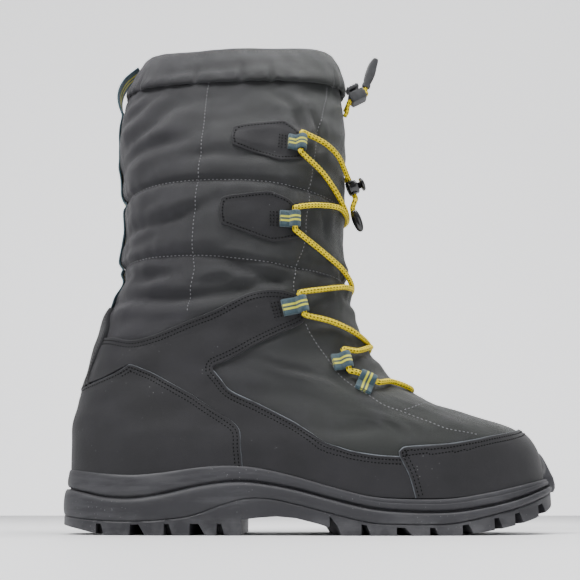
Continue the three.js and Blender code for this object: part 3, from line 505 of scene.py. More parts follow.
def piece(name: str, sheet: Sheet, material: bpy.types.Material, replaces: tuple[str, ...] = (),
          body: str = BOOT, merge: float = 0.001) -> bpy.types.Object:
    """Write a sheet as a Blender object that rides on a body.

    Args:
        name: the object's name.
        sheet: its points, faces, UVs and marks.
        material: its finish.
        replaces: CAD nodes that it stands for.
        body: body that it rides on.
        merge: distance in millimetres under which points are joined, so that poles and seams close.

    Returns:
        The object.
    """
    mesh = bpy.data.meshes.new(name)
    mesh.from_pydata((sheet.points - CENTRE) / 1000.0, [], sheet.faces)
    if sheet.uv is not None:
        layer = mesh.uv_layers.new(name="UVMap")
        layer.data.foreach_set("uv", np.ascontiguousarray(sheet.uv, dtype=np.float32).ravel())
    for key, value in sheet.marks.items():
        mesh.attributes.new(key, "FLOAT", "POINT").data.foreach_set("value", value.astype(np.float32))
    work = bmesh.new()
    work.from_mesh(mesh)
    bmesh.ops.remove_doubles(work, verts=work.verts, dist=merge / 1000.0)
    work.to_mesh(mesh)
    work.free()
    mesh.polygons.foreach_set("use_smooth", np.ones(len(mesh.polygons), dtype=bool))
    mesh.materials.append(material)
    mesh.update()
    made = bpy.data.objects.new(name, mesh)
    bpy.context.collection.objects.link(made)
    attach(made, body)
    if replaces:
        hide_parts(*replaces)
    LOG.info("%s: %d points, %d faces", name, len(mesh.vertices), len(mesh.polygons))
    return made


def tube(path: Array, radius: Array | float, sides: int = 12, loop: bool = False) -> Sheet:
    """Round tube carried along a path.

    At each point of the path a circle stands square to it. The frame of each circle is turned as
    little as possible from the one before. The ends close to a point, or a flat loop, whose last
    point is its first, closes on itself.

    Args:
        path: points of the middle line.
        radius: radius, one or one for each point.
        sides: points round it.
        loop: whether the path is a closed loop.

    Returns:
        The tube, with u round it from 0 to 1 and v along it in millimetres.
    """
    radius = np.broadcast_to(np.asarray(radius, float), (len(path),)).copy()
    ahead = np.gradient(path, axis=0)
    if loop:
        ahead[0] = ahead[-1] = path[1] - path[-2]
    ahead /= np.linalg.norm(ahead, axis=1, keepdims=True)
    side = np.cross(ahead[0], [0.0, 0.0, 1.0] if abs(ahead[0, 2]) < 0.9 else [0.0, 1.0, 0.0])
    if loop:
        side = np.cross(ahead[0], ahead[1])
    frames = []
    for direction in ahead:
        side = side - direction * (side @ direction)
        side = side / np.linalg.norm(side)
        frames.append(side)
    first = np.array(frames)
    second = np.cross(ahead, first)
    run = arc_lengths(path)
    if not loop:
        path = np.concatenate([path[:1], path, path[-1:]])
        first = np.concatenate([first[:1], first, first[-1:]])
        second = np.concatenate([second[:1], second, second[-1:]])
        radius = np.concatenate([[0.0], radius, [0.0]])
        run = np.concatenate([run[:1], run, run[-1:]])
    turn = np.linspace(0, 2 * np.pi, sides, endpoint=False)
    ring = (first[:, None] * np.cos(turn)[None, :, None] + second[:, None] * np.sin(turn)[None, :, None])
    points = path[:, None] + ring * radius[:, None, None]
    u = np.broadcast_to(np.linspace(0, 1, sides + 1), (len(path), sides + 1))
    v = np.broadcast_to(run[:, None], (len(path), sides + 1))
    return grid_sheet(points, wrap=True, u=u, v=v)


def lathe(profile: Array, sides: int = 32) -> Sheet:
    """Turned shape about the z axis from (radius, height) rows that run from bottom to top."""
    turn = np.linspace(0, 2 * np.pi, sides, endpoint=False)
    points = np.stack([profile[:, :1] * np.cos(turn), profile[:, :1] * np.sin(turn),
                       np.broadcast_to(profile[:, 1:], (len(profile), sides))], axis=-1)
    return grid_sheet(points, wrap=True)


def rounded_bar(half_x: float, half_y: float, corner: float, heights: Array, bevel: float = 0.5,
                sides: int = 48) -> Sheet:
    """Upright block with a rounded rectangle as its section and softened rims.

    The section is a superellipse-like outline: a rectangle shrunk by the corner plus a circle. Near
    each end it draws in by a quarter round, and it closes to its middle.

    Args:
        half_x: half width along x.
        half_y: half width along y.
        corner: radius of the upright corners.
        heights: bottom and top.
        bevel: radius of the rims.
        sides: points round it.

    Returns:
        The block.
    """
    turn = np.linspace(0, 2 * np.pi, sides, endpoint=False) + np.pi / sides
    square = lambda value: np.sign(value) * np.minimum(np.abs(value) * 1.6, 1.0)
    ease = np.linspace(0, np.pi / 2, 5)
    inset = np.concatenate([[1e3], bevel * (1 - np.sin(ease)), bevel * (1 - np.sin(ease))[::-1], [1e3]])
    rise = np.concatenate([[0], bevel * (1 - np.cos(ease)),
                           heights[1] - heights[0] - bevel * (1 - np.cos(ease))[::-1],
                           [heights[1] - heights[0]]]) + heights[0]
    rows = []
    for back, level in zip(inset, rise):
        if back > 100:
            rows.append(np.stack([np.zeros(sides), np.zeros(sides), np.full(sides, level)], -1))
            continue
        x = square(np.cos(turn)) * (half_x - corner) + np.cos(turn) * (corner - min(back, corner * 0.9))
        y = square(np.sin(turn)) * (half_y - corner) + np.sin(turn) * (corner - min(back, corner * 0.9))
        rows.append(np.stack([x, y, np.full(sides, level)], -1))
    return grid_sheet(np.array(rows), wrap=True)


def moved(sheet: Sheet, matrix: Array) -> Sheet:
    """A sheet's copy carried by a 4 x 4 matrix."""
    return Sheet(sheet.points @ matrix[:3, :3].T + matrix[:3, 3], sheet.faces, sheet.uv, sheet.marks)


def stitches(path: Array, normals: Array, pitch: float, length: float, radius: float,
             sink: float = 0.35) -> Sheet:
    """Row of single stitches along a path.

    Each stitch is a short capsule of six sides and five rings. Its copies are placed by whole
    arrays: along the path's direction, sunk by a share of its radius.

    Args:
        path: line of the row.
        normals: outward direction at each of its points.
        pitch: distance from stitch to stitch.
        length: length of one stitch.
        radius: radius of the thread.
        sink: share of the radius below the surface.

    Returns:
        All stitches as one sheet.
    """
    run = arc_lengths(path)
    count = max(2, int(run[-1] / pitch))
    at = (np.arange(count) + 0.5) * run[-1] / count
    centre = np.stack([np.interp(at, run, path[:, k]) for k in range(3)], axis=1)
    out = np.stack([np.interp(at, run, normals[:, k]) for k in range(3)], axis=1)
    tangent = np.gradient(path, axis=0)
    ahead = np.stack([np.interp(at, run, tangent[:, k]) for k in range(3)], axis=1)
    ahead /= np.linalg.norm(ahead, axis=1, keepdims=True)
    out -= ahead * np.sum(out * ahead, axis=1, keepdims=True)
    out /= np.linalg.norm(out, axis=1, keepdims=True)
    across = np.cross(ahead, out)
    places = np.array([-0.5, -0.42, 0.0, 0.42, 0.5])
    widths = np.array([0.0, 0.75, 1.0, 0.75, 0.0]) * radius
    turn = np.linspace(0, 2 * np.pi, 6, endpoint=False)
    local = np.stack([np.broadcast_to((places * length)[:, None], (5, 6)),
                      widths[:, None] * np.cos(turn), widths[:, None] * np.sin(turn)], axis=-1).reshape(-1, 3)
    base = centre - out * (radius * sink)
    points = (base[:, None] + ahead[:, None] * local[None, :, :1] + across[:, None] * local[None, :, 1:2]
              + out[:, None] * local[None, :, 2:])
    faces = grid_quads(5, 6, wrap=True, flip=True)
    every = (faces[None] + (np.arange(count) * 30)[:, None, None]).reshape(-1, 4)
    return Sheet(points.reshape(-1, 3), every)


# ------------------------------------------------------------------ finishes
class Nodes:
    """Short way of writing a material's nodes."""

    def __init__(self, name: str) -> None:
        """Start a material with an empty tree and a Principled shader."""
        self.material = bpy.data.materials.new(name)
        self.material.use_nodes = True
        self.tree = self.material.node_tree
        self.tree.nodes.clear()
        output = self.tree.nodes.new("ShaderNodeOutputMaterial")
        self.shader = self.tree.nodes.new("ShaderNodeBsdfPrincipled")
        self.tree.links.new(self.shader.outputs[0], output.inputs[0])
        self.coordinates = self.tree.nodes.new("ShaderNodeTexCoord")

    def add(self, kind: str, **settings: object) -> bpy.types.Node:
        """Add a node. Settings that it has are set on it, and the rest go to its input sockets.

        Args:
            kind: the node's type name.
            **settings: values, or sockets to link from.

        Returns:
            The node.
        """
        node = self.tree.nodes.new(kind)
        for key, value in settings.items():
            if key.startswith("in_"):
                index = int(key[3:])
                if isinstance(value, bpy.types.NodeSocket):
                    self.tree.links.new(value, node.inputs[index])
                else:
                    node.inputs[index].default_value = value
            else:
                setattr(node, key, value)
        return node

    def scaled(self, scale: tuple[float, float, float], uv: bool = False) -> bpy.types.NodeSocket:
        """Coordinates, of the object or of its UV map, times a scale."""
        node = self.add("ShaderNodeMapping", in_0=self.coordinates.outputs["UV" if uv else "Object"])
        node.inputs["Scale"].default_value = scale
        return node.outputs[0]

    def noise(self, scale: float, detail: float = 3.0, rough: float = 0.55,
              stretch: tuple[float, float, float] = (1, 1, 1), uv: bool = False) -> bpy.types.NodeSocket:
        """Noise between 0 and 1."""
        node = self.add("ShaderNodeTexNoise", in_0=self.scaled(stretch, uv))
        node.inputs["Scale"].default_value = scale
        node.inputs["Detail"].default_value = detail
        node.inputs["Roughness"].default_value = rough
        return node.outputs[0]

    def ramp(self, value: bpy.types.NodeSocket, low: float, high: float) -> bpy.types.NodeSocket:
        """Value taken from low..high to 0..1 and clamped."""
        node = self.add("ShaderNodeMapRange", clamp=True, in_0=value, in_1=low, in_2=high)
        return node.outputs[0]

    def spread(self, value: bpy.types.NodeSocket, low: float, high: float) -> bpy.types.NodeSocket:
        """Value taken from 0..1 to low..high."""
        return self.add("ShaderNodeMapRange", in_0=value, in_3=low, in_4=high).outputs[0]

    def split(self, kind: str) -> bpy.types.NodeOutputs:
        """The three parts of the coordinates of one kind: Object or UV."""
        return self.add("ShaderNodeSeparateXYZ", in_0=self.coordinates.outputs[kind]).outputs

    def specks(self, scale: float) -> bpy.types.NodeSocket:
        """Distance to scattered points."""
        node = self.add("ShaderNodeTexVoronoi", in_0=self.scaled((1, 1, 1)))
        node.inputs["Scale"].default_value = scale
        return node.outputs[0]

    def math(self, operation: str, a: object, b: object = 0.0) -> bpy.types.NodeSocket:
        """One arithmetic step."""
        return self.add("ShaderNodeMath", operation=operation, in_0=a, in_1=b).outputs[0]

    def waves(self, value: bpy.types.NodeSocket, pitch: float) -> bpy.types.NodeSocket:
        """Sine of a value that repeats at a pitch."""
        return self.math("SINE", self.math("MULTIPLY", value, 2 * math.pi / pitch))

    def mix(self, share: object, a: object, b: object) -> bpy.types.NodeSocket:
        """Blend of two colours."""
        node = self.add("ShaderNodeMix", data_type="RGBA")
        for index, value in ((0, share), (6, a), (7, b)):
            if isinstance(value, bpy.types.NodeSocket):
                self.tree.links.new(value, node.inputs[index])
            else:
                node.inputs[index].default_value = value
        return node.outputs[2]

    def mark(self, name: str) -> bpy.types.NodeSocket:
        """Named value stored on the mesh's points."""
        return self.add("ShaderNodeAttribute", attribute_name=name).outputs["Fac"]

    def bump(self, height: bpy.types.NodeSocket, strength: float, distance: float) -> None:
        """Send a height into the shader's normal, distance in metres."""
        node = self.add("ShaderNodeBump")
        node.inputs["Strength"].default_value = strength
        node.inputs["Distance"].default_value = distance
        self.tree.links.new(height, node.inputs["Height"])
        self.tree.links.new(node.outputs[0], self.shader.inputs["Normal"])

    def colour(self, value: object) -> None:
        """Send a colour to the shader."""
        self.send("Base Color", value)

    def send(self, socket: str, value: object) -> None:
        """Link a socket to the shader, or set its number there."""
        if isinstance(value, bpy.types.NodeSocket):
            self.tree.links.new(value, self.shader.inputs[socket])
        else:
            self.shader.inputs[socket].default_value = value


Colour = tuple[float, float, float]


def rgba(colour: Colour, share: float = 1.0) -> tuple[float, float, float, float]:
    """A linear colour, darkened by a share, with full alpha."""
    return (colour[0] * share, colour[1] * share, colour[2] * share, 1.0)


@dataclass(frozen=True)
class ShellCloth:
    """Woven nylon shell: fine ribs with painted shade in their troughs, slow colour changes, rubbed patches,
    lint and a soft sheen.
    """

    name: str = "shell_cloth"
    colour: Colour = (0.0225, 0.0215, 0.026)
    warm: Colour = (0.020, 0.0225, 0.0208)
    rib: float = 0.42

    def build(self) -> bpy.types.Material:
        """Make the material."""
        nodes = Nodes(self.name)
        place = nodes.split("Object")
        forward = nodes.math("ADD", place[0], nodes.math("MULTIPLY", nodes.noise(14, 2), 0.06))
        slow = nodes.ramp(forward, -0.09, 0.05)
        base = nodes.mix(slow, rgba(self.colour), rgba(self.warm))
        rubbed = nodes.ramp(nodes.noise(60, 5, 0.62), 0.5, 0.75)
        base = nodes.mix(nodes.math("MULTIPLY", rubbed, 0.4), base, rgba(self.colour, 1.7))
        lint = nodes.ramp(nodes.noise(1500, 2, 0.5), 0.73, 0.8)
        base = nodes.mix(nodes.math("MULTIPLY", lint, 0.3), base, (0.3, 0.3, 0.31, 1))
        uv = nodes.split("UV")
        along = nodes.waves(uv[0], self.rib)
        up = nodes.waves(uv[1], self.rib)
        weave = nodes.math("MULTIPLY", along, up)
        height = nodes.math("ADD", nodes.math("MULTIPLY", weave, 0.5), nodes.noise(900, 3))
        # painted shade: the weave's low spots, where its bump dips, are darkened
        base = nodes.mix(nodes.ramp(weave, -1.4, 1.0), nodes.mix(0.82, rgba(self.colour, 0.4), base), base)
        nodes.colour(base)
        nodes.send("Roughness", nodes.spread(nodes.noise(40, 3), 0.5, 0.68))
        nodes.send("Sheen Weight", 0.12)
        nodes.send("Sheen Roughness", 0.4)
        nodes.send("Specular IOR Level", 0.3)
        nodes.bump(height, 0.55, 0.00025)
        return nodes.material


@dataclass(frozen=True)
class Nubuck:
    """Buffed leather: fine nap, cloudy shading, pale scuffs, dust specks and a painted highlight along the
    turned edge.
    """

    name: str = "nubuck"
    colour: Colour = (0.0165, 0.0165, 0.0182)
    cloud: Colour = (0.0225, 0.0222, 0.0252)
    # colour of the painted highlight on the turned edges
    edge: Colour = (0.16, 0.18, 0.205)

    def build(self) -> bpy.types.Material:
        """Make the material."""
        nodes = Nodes(self.name)
        base = nodes.mix(nodes.ramp(nodes.noise(26, 4, 0.6), 0.38, 0.66), rgba(self.colour), rgba(self.cloud))
        nap = nodes.noise(2600, 3, 0.7)
        base = nodes.mix(nodes.ramp(nap, 0.3, 0.7), nodes.mix(0.75, rgba(self.colour, 0.5), base), base)
        scuffs = nodes.ramp(nodes.noise(210, 6, 0.7), 0.66, 0.76)
        base = nodes.mix(nodes.math("MULTIPLY", scuffs, 0.32), base, (0.17, 0.17, 0.19, 1))
        dust = nodes.math("MULTIPLY", nodes.ramp(nodes.specks(240), 0.1, 0.05),
                          nodes.ramp(nodes.noise(55, 2), 0.52, 0.6))
        base = nodes.mix(nodes.math("MULTIPLY", dust, 0.2), base, (0.36, 0.36, 0.38, 1))
        # painted highlight: the turned edges in the rim mark are lightened towards the edge colour, broken up
        # by noise
        painted_edge_highlight = nodes.math("MULTIPLY", nodes.mark("rim"), nodes.ramp(nodes.noise(120, 3), 0.25, 0.55))
        base = nodes.mix(painted_edge_highlight, base, rgba(self.edge))
        nodes.colour(base)
        nodes.send("Roughness", 0.7)
        nodes.send("Sheen Weight", 0.08)
        nodes.send("Sheen Roughness", 0.5)
        nodes.send("Specular IOR Level", 0.25)
        height = nodes.math("ADD", nap, nodes.math("MULTIPLY", nodes.noise(420, 4), 0.7))
        nodes.bump(height, 0.5, 0.0002)
        return nodes.material


@dataclass(frozen=True)
class Rubber:
    """Moulded rubber: dull, faintly mottled, dusty in spots and rubbed pale at the tread."""

    name: str = "sole_rubber"
    colour: Colour = (0.028, 0.028, 0.032)
    dirt: Colour = (0.24, 0.24, 0.25)

    def build(self) -> bpy.types.Material:
        """Make the material."""
        nodes = Nodes(self.name)
        base = nodes.mix(nodes.ramp(nodes.noise(30, 4, 0.6), 0.35, 0.65), rgba(self.colour, 0.88),
                         rgba(self.colour, 1.14))
        streak = nodes.ramp(nodes.noise(60, 5, 0.65, (0.25, 0.25, 1.6)), 0.5, 0.72)
        base = nodes.mix(nodes.math("MULTIPLY", streak, 0.14), base, rgba(self.dirt))
        dust = nodes.math("MULTIPLY", nodes.ramp(nodes.specks(420), 0.16, 0.06),
                          nodes.ramp(nodes.noise(38, 3), 0.5, 0.62))
        base = nodes.mix(nodes.math("MULTIPLY", dust, 0.28), base, (0.4, 0.4, 0.41, 1))
        low = nodes.math("MULTIPLY", nodes.ramp(nodes.split("Object")[2], 0.012, 0.0),
                         nodes.ramp(nodes.noise(90, 4), 0.4, 0.7))
        base = nodes.mix(nodes.math("MULTIPLY", low, 0.3), base, rgba(self.dirt))
        nodes.colour(base)
        nodes.send("Roughness", nodes.spread(nodes.noise(50, 4), 0.46, 0.64))
        nodes.send("Specular IOR Level", 0.34)
        height = nodes.math("ADD", nodes.noise(1900, 3, 0.6),
                            nodes.math("MULTIPLY", nodes.noise(300, 3), 0.6))
        nodes.bump(height, 0.3, 0.00015)
        return nodes.material


@dataclass(frozen=True)
class Webbing:
    """Ribbed webbing in blue-grey with two yellow stripes and painted shade between the ribs. u runs across
    it, v along in millimetres.
    """

    name: str = "webbing"
    ground: Colour = (0.022, 0.066, 0.09)
    stripe: Colour = (0.78, 0.76, 0.02)
    rib: float = 0.85

    def build(self) -> bpy.types.Material:
        """Make the material."""
        nodes = Nodes(self.name)
        uv = nodes.split("UV")
        off = nodes.math("ABSOLUTE", nodes.math("SUBTRACT", uv[0], 0.5))
        inside = nodes.ramp(off, 0.05, 0.07)
        outside = nodes.ramp(off, 0.19, 0.17)
        stripes = nodes.math("MULTIPLY", inside, outside)
        rows = nodes.waves(uv[1], self.rib)
        threads = nodes.math("SINE", nodes.math("MULTIPLY", uv[0], 2 * math.pi * 15))
        weave = nodes.math("MULTIPLY", rows, threads)
        base = nodes.mix(nodes.ramp(nodes.noise(500, 3), 0.3, 0.7), rgba(self.ground, 0.75),
                         rgba(self.ground, 1.35))
        base = nodes.mix(stripes, base, rgba(self.stripe))
        # painted shade: the weave's low spots, where its bump dips, are darkened
        base = nodes.mix(nodes.math("MULTIPLY", nodes.ramp(weave, 0.2, -0.9), 0.55), base,
                         rgba(self.ground, 0.3))
        nodes.colour(base)
        nodes.send("Roughness", 0.68)
        nodes.send("Sheen Weight", 0.2)
        nodes.bump(weave, 0.8, 0.0003)
        return nodes.material


@dataclass(frozen=True)
class BraidedCord:
    """Round braided cord in yellow with small black flecks in rows."""

    name: str = "elastic_cord"
    colour: Colour = (0.86, 0.66, 0.0)
    fleck: Colour = (0.012, 0.011, 0.009)
    turns: float = 6.0
    pitch: float = 2.6

    def build(self) -> bpy.types.Material:
        """Make the material. Two sets of slanted bands cross; black shows where both crest."""
        nodes = Nodes(self.name)
        uv = nodes.split("UV")
        round_it = nodes.math("MULTIPLY", uv[0], 2 * math.pi * self.turns / 2)
        along = nodes.math("MULTIPLY", uv[1], 2 * math.pi / self.pitch / 2)
        left = nodes.math("SINE", nodes.math("ADD", round_it, along))
        right = nodes.math("SINE", nodes.math("SUBTRACT", round_it, along))
        plait = nodes.math("MULTIPLY", left, right)
        base = nodes.mix(nodes.ramp(nodes.noise(350, 3), 0.3, 0.7), rgba(self.colour, 0.8),
                         rgba(self.colour, 1.1))
        base = nodes.mix(nodes.ramp(plait, 0.3, 0.5), base, rgba(self.fleck))
        base = nodes.mix(nodes.math("MULTIPLY", nodes.ramp(plait, -0.2, -0.95), 0.35), base,
                         rgba(self.colour, 0.35))
        nodes.colour(base)
        nodes.send("Roughness", 0.6)
        nodes.send("Specular IOR Level", 0.2)
        nodes.bump(nodes.math("ABSOLUTE", plait), 0.7, 0.0004)
        return nodes.material


@dataclass(frozen=True)
class Thread:
    """Twisted sewing thread."""

    name: str
    colour: Colour
    roughness: float = 0.6

    def build(self) -> bpy.types.Material:
        """Make the material."""
        nodes = Nodes(self.name)
        nodes.colour(nodes.mix(nodes.noise(2400, 2), rgba(self.colour, 0.6), rgba(self.colour, 1.4)))
        nodes.send("Roughness", self.roughness)
        nodes.send("Specular IOR Level", 0.12)
        nodes.bump(nodes.noise(5200, 2), 0.4, 0.0001)
        return nodes.material


@dataclass(frozen=True)
class Plastic:
    """Moulded plastic, glossy or finely textured, with faint scratches."""

    name: str
    colour: Colour
    roughness: float
    grain: float
    coat: float = 0.0

    def build(self) -> bpy.types.Material:
        """Make the material."""
        nodes = Nodes(self.name)
        nodes.colour(nodes.mix(nodes.ramp(nodes.noise(220, 4), 0.35, 0.7), rgba(self.colour, 0.8),
                               rgba(self.colour, 1.5)))
        wear = nodes.ramp(nodes.noise(700, 5, 0.7, (1, 1, 0.15)), 0.45, 0.7)
        nodes.send("Roughness", nodes.spread(wear, self.roughness, self.roughness + 0.16))
        nodes.send("Coat Weight", self.coat)
        nodes.send("Coat Roughness", 0.08)
        nodes.bump(nodes.noise(3200, 2), self.grain, 0.0001)
        return nodes.material


@dataclass(frozen=True)
class Pile:
    """Short brushed pile or felt, for the lining and the insole."""

    name: str
    colour: Colour

    def build(self) -> bpy.types.Material:
        """Make the material."""
        nodes = Nodes(self.name)
        tuft = nodes.noise(1100, 4, 0.7)
        nodes.colour(nodes.mix(nodes.ramp(tuft, 0.3, 0.7), rgba(self.colour, 0.55), rgba(self.colour, 1.5)))
        nodes.send("Roughness", 0.92)
        nodes.send("Sheen Weight", 0.5)
        nodes.bump(tuft, 0.9, 0.0008)
        return nodes.material


@dataclass(frozen=True)
class PaleFloor:
    """Plain pale studio floor with a very faint tone change."""

    name: str = "floor_paint"
    glow: float = 0.0

    def build(self) -> bpy.types.Material:
        """Make the material."""
        nodes = Nodes(self.name)
        nodes.send("Emission Color", (0.95, 0.95, 0.96, 1.0))
        nodes.send("Emission Strength", self.glow)
        nodes.colour(nodes.mix(nodes.noise(2.5, 3), (0.74, 0.74, 0.755, 1), (0.8, 0.8, 0.81, 1)))
        nodes.send("Roughness", 0.6)
        return nodes.material


class Finish(Enum):
    """Every finish on the boot."""

    CLOTH = ShellCloth()
    NUBUCK = Nubuck()
    RUBBER = Rubber()
    WEBBING = Webbing()
    CORD = BraidedCord()
    BLACK_THREAD = Thread("black_thread", (0.0015, 0.0015, 0.0018))
    PALE_THREAD = Thread("pale_thread", (0.2, 0.2, 0.21))
    GLOSS = Plastic("gloss_plastic", (0.008, 0.008, 0.009), 0.16, 0.05, 0.5)
    MATT = Plastic("matt_plastic", (0.026, 0.027, 0.03), 0.5, 0.45)
    LINING = Pile("lining_pile", (0.018, 0.018, 0.02))
    FELT = Pile("insole_felt", (0.07, 0.07, 0.075))
    FLOOR = PaleFloor()
    BACKDROP = PaleFloor("backdrop_paint", 1.35)

    @property
    def material(self) -> bpy.types.Material:
        """The finish's material, made once."""
        found = bpy.data.materials.get("finish_" + self.value.name)
        if found is None:
            found = self.value.build()
            found.name = "finish_" + self.value.name
        return found


# ------------------------------------------------------------------ sole
@dataclass
class CupSole:
    """Rubber cup sole: a grooved side wall, lugged tread, toe bumper and insole."""

    around: int = 420
    # out from the lasting edge, lower line, upper line (1 top, 2 seam, 3 tread), share between them, rise
    wall: tuple[tuple[float, int, int, float, float], ...] = (
        (1.5, 3, 2, 0, 0.1), (3.9, 3, 2, 0, 0.1), (4.4, 3, 2, 0, 0.35), (4.95, 3, 2, 0.06, 0.5),
        (5.35, 3, 2, 0.18, 0.3),
        (5.6, 3, 2, 0.36, 0), (5.6, 3, 2, 0.55, 0), (5.4, 3, 2, 0.74, 0), (4.9, 3, 2, 0.88, -0.1),
        (4.0, 3, 2, 1, -0.8),
        (2.9, 3, 2, 1, -0.6), (2.0, 3, 2, 1, -0.35), (1.9, 3, 2, 1, 0), (2.1, 2, 1, 0, 0.35),
        (2.9, 2, 1, 0, 0.6),
        (3.5, 2, 1, 0.04, 0.7), (3.9, 2, 1, 0.18, 0.4), (4.0, 2, 1, 0.36, 0), (3.9, 2, 1, 0.52, 0),
        (3.75, 2, 1, 0.6, 0),
        (3.3, 2, 1, 0.65, 0), (3.55, 2, 1, 0.7, 0), (3.45, 2, 1, 0.8, 0), (3.2, 2, 1, 0.9, 0),
        (2.8, 2, 1, 0.97, 0),
        (2.2, 2, 1, 1, 0), (1.6, 2, 1, 1, -0.1), (1.0, 2, 1, 1, -0.5), (0.3, 2, 1, 1, -2.0),
        (0.3, 2, 1, 1, -6.2),
    )
    # x at the outer edge, width on the ground, reach in from the edge, turn in degrees
    notches: tuple[tuple[float, float, float, float], ...] = (
        (27, 5, 9, 0), (48, 9, 40, -6), (68, 5, 8, -6), (83, 9, 40, -6), (98.5, 4.5, 8, -3),
        (163, 7, 46, 8), (181, 5.5, 13, 9), (201, 9, 46, 10), (220, 5, 13, 11), (239, 6.5, 46, 12),
        (258.5, 5, 14, 14), (272, 5.5, 40, 16), (289, 6, 16, 18),
    )
    web: float = 1.6
    notch_depth: float = 6.4
    rib: float = 5.0

    def wall_sheet(self) -> Sheet:
        """Side wall: each profile row is a ring round the lasting edge at its own sole line."""
        angle = np.linspace(0, 2 * np.pi, self.around, endpoint=False)
        rows = []
        for out, low, high, share, rise in self.wall:
            ring = LAST.lifted(np.zeros_like(angle), angle, np.full(self.around, out))
            bottom, top = LAST.sole_line(low, ring[:, 0]), LAST.sole_line(high, ring[:, 0])
            ring[:, 2] = bottom + (top - bottom) * share + rise
            if low == 2 and 0.62 < share < 0.68:
                ring += LAST.normal(np.zeros_like(angle),
                                    angle) * (0.35 * (1 - smooth_step((ring[:, 0] - 175) / 20)))[:, None]
            rows.append(ring)
        return grid_sheet(np.array(rows), wrap=True, flip=False)

    def outline(self, x: Array, out: float) -> tuple[Array, Array]:
        """Outer and inner edge's y at x, read off a dense ring round the sole.

        Args:
            x: places along the foot.
            out: distance out from the lasting edge.

        Returns:
            y of the outer edge and of the inner edge.
        """
        angle = np.linspace(0, np.pi, 1500)
        edges = []
        for side in (-1, 1):
            ring = LAST.lifted(np.zeros_like(angle), side * angle, np.full(angle.shape, out))
            order = np.argsort(ring[:, 0])
            edges.append(np.interp(x, ring[order, 0], ring[order, 1]))
        return edges[0], edges[1]

    def tread_sheet(self, out: float = 4.5) -> Sheet:
        """Underside and edge of the outsole as one folded grid.

        Lines across the sole are sheared so that each notch lies between two of them. The height is
        the ground line, raised in the notches and under the arch, and the last rows on both sides
        climb the edge to the side wall.
        """
        ring = LAST.lifted(np.zeros(2000), np.linspace(0, 2 * np.pi, 2000), np.full(2000, out))
        low, high = ring[:, 0].min() + 0.02, ring[:, 0].max() - 0.02
        ends = (high - low) / 2 * np.sin(np.linspace(-np.pi / 2, np.pi / 2, 150)) + (high + low) / 2
        marks = [ends, np.array([112.46, 112.54, 122, 133, 144, 156, 163, 166.5])]
        for x, width, _, _ in self.notches:
            marks.append(np.array([x - 0.04, x + 0.04, x + width * 0.3, x + width * 0.55, x + width]))
        along = np.unique(np.concatenate(marks))
        turns = np.array([(x, turn) for x, _, _, turn in self.notches]
                         + [(112.5, 0.0), (-5.0, 0.0), (312.0, 20.0)])
        turns = turns[np.argsort(turns[:, 0])]
        shear = np.tan(np.radians(np.interp(along, turns[:, 0], turns[:, 1])))
        outer, inner = self.outline(along, out)
        middle, half = (outer + inner) / 2, (inner - outer) / 2
        across = np.concatenate([np.linspace(-1, -0.9, 4)[:-1], np.linspace(-0.9, 0.9, 61),
                                 np.linspace(0.9, 1, 4)[1:]])
        off = np.abs(across)[None, :] * half[:, None]
        x = along[:, None] + (off - half[:, None]) * shear[:, None]
        y = middle[:, None] + across[None, :] * half[:, None]
        tread = LAST.sole_line(3, x)
        ground = LAST.sole_line(4, x)
        arch_x = [112.48, 112.52, 122, 133, 144, 156, 163, 166.5]
        arch = np.interp(x, arch_x, [0, 8.8, 9.9, 10.6, 9.6, 6.6, 4.6, 0], left=0, right=0)
        ground = np.maximum(ground, np.minimum(arch, tread - 1.2))
        height = ground.copy()
        for place, width, reach, _ in self.notches:
            local = along[:, None] - place
            depth = np.clip((width - local) / (0.45 * width), 0, 1) * (local > 0)
            inner_stop = np.maximum(half[:, None] - reach, self.rib)
            depth = depth * smooth_step((off - inner_stop) / 1.2)
            roof = np.maximum(np.minimum(tread - self.web, ground + self.notch_depth), ground)
            height = np.maximum(height, ground + (roof - ground) * depth)
        sipe = np.exp(-((np.abs(across)[None, :] * half[:, None] - self.rib - 4) / 0.8) ** 2)
        height = height + 0.9 * sipe * (ground < 0.5)
        bottom = np.stack([x, y, height], axis=-1)
        climbs = []
        top = LAST.sole_line(3, along) + 0.05
        for column, edge, sign in ((0, outer, -1.0), (-1, inner, 1.0)):
            rows = []
            for share, more in ((0.06, 0.25), (0.5, 0.45), (0.9, 0.5), (1.0, 0.1), (1.0, -2.5)):
                z = height[:, column] + (top - height[:, column]) * share
                reach = middle + sign * (half + more * smooth_step(half / 8))
                rows.append(np.stack([along, reach, z], axis=-1))
            climbs.append(np.stack(rows, axis=1))
        outer_climb, inner_climb = climbs[0][:, ::-1], climbs[1]
        grid = np.concatenate([outer_climb, bottom, inner_climb], axis=1)
        return grid_sheet(grid, flip=False)

    def bumper_sheet(self) -> Sheet:
        """Toe bumper: rows of rising height over the toe, thinning and narrowing upwards."""
        rows = np.array([[24.5, 3.0], [25.2, 6.6], [27.5, 7.7], [30, 8.0], [34, 7.8], [37, 7.3], [41, 6.6],
                         [45, 5.8],
                         [48, 5.1], [49.6, 4.6], [50.3, 3.9], [50.4, 2.9], [49.8, 1.2]])
        spread = 0.34
        angle = np.linspace(-spread, spread, 81)
        shoulder = smooth_step(np.abs(angle / spread) * 1.3)
        z = np.where(rows[:, :1] > 34, 34 + (rows[:, :1] - 34) * (1 - 0.9 * shoulder), rows[:, :1])
        level = np.clip((z - 29) / 21, 0, 1)
        foot = LAST.surface(level, np.broadcast_to(angle, z.shape))
        normal = LAST.normal(np.zeros_like(z), np.broadcast_to(angle, z.shape))
        thin = smooth_step((1 - np.abs(angle / spread)) / 0.6)
        out = -0.5 + (rows[:, 1:] + 0.5) * thin
        points = foot + normal * out[..., None]
        points[..., 2] = z
        return grid_sheet(points, flip=False)

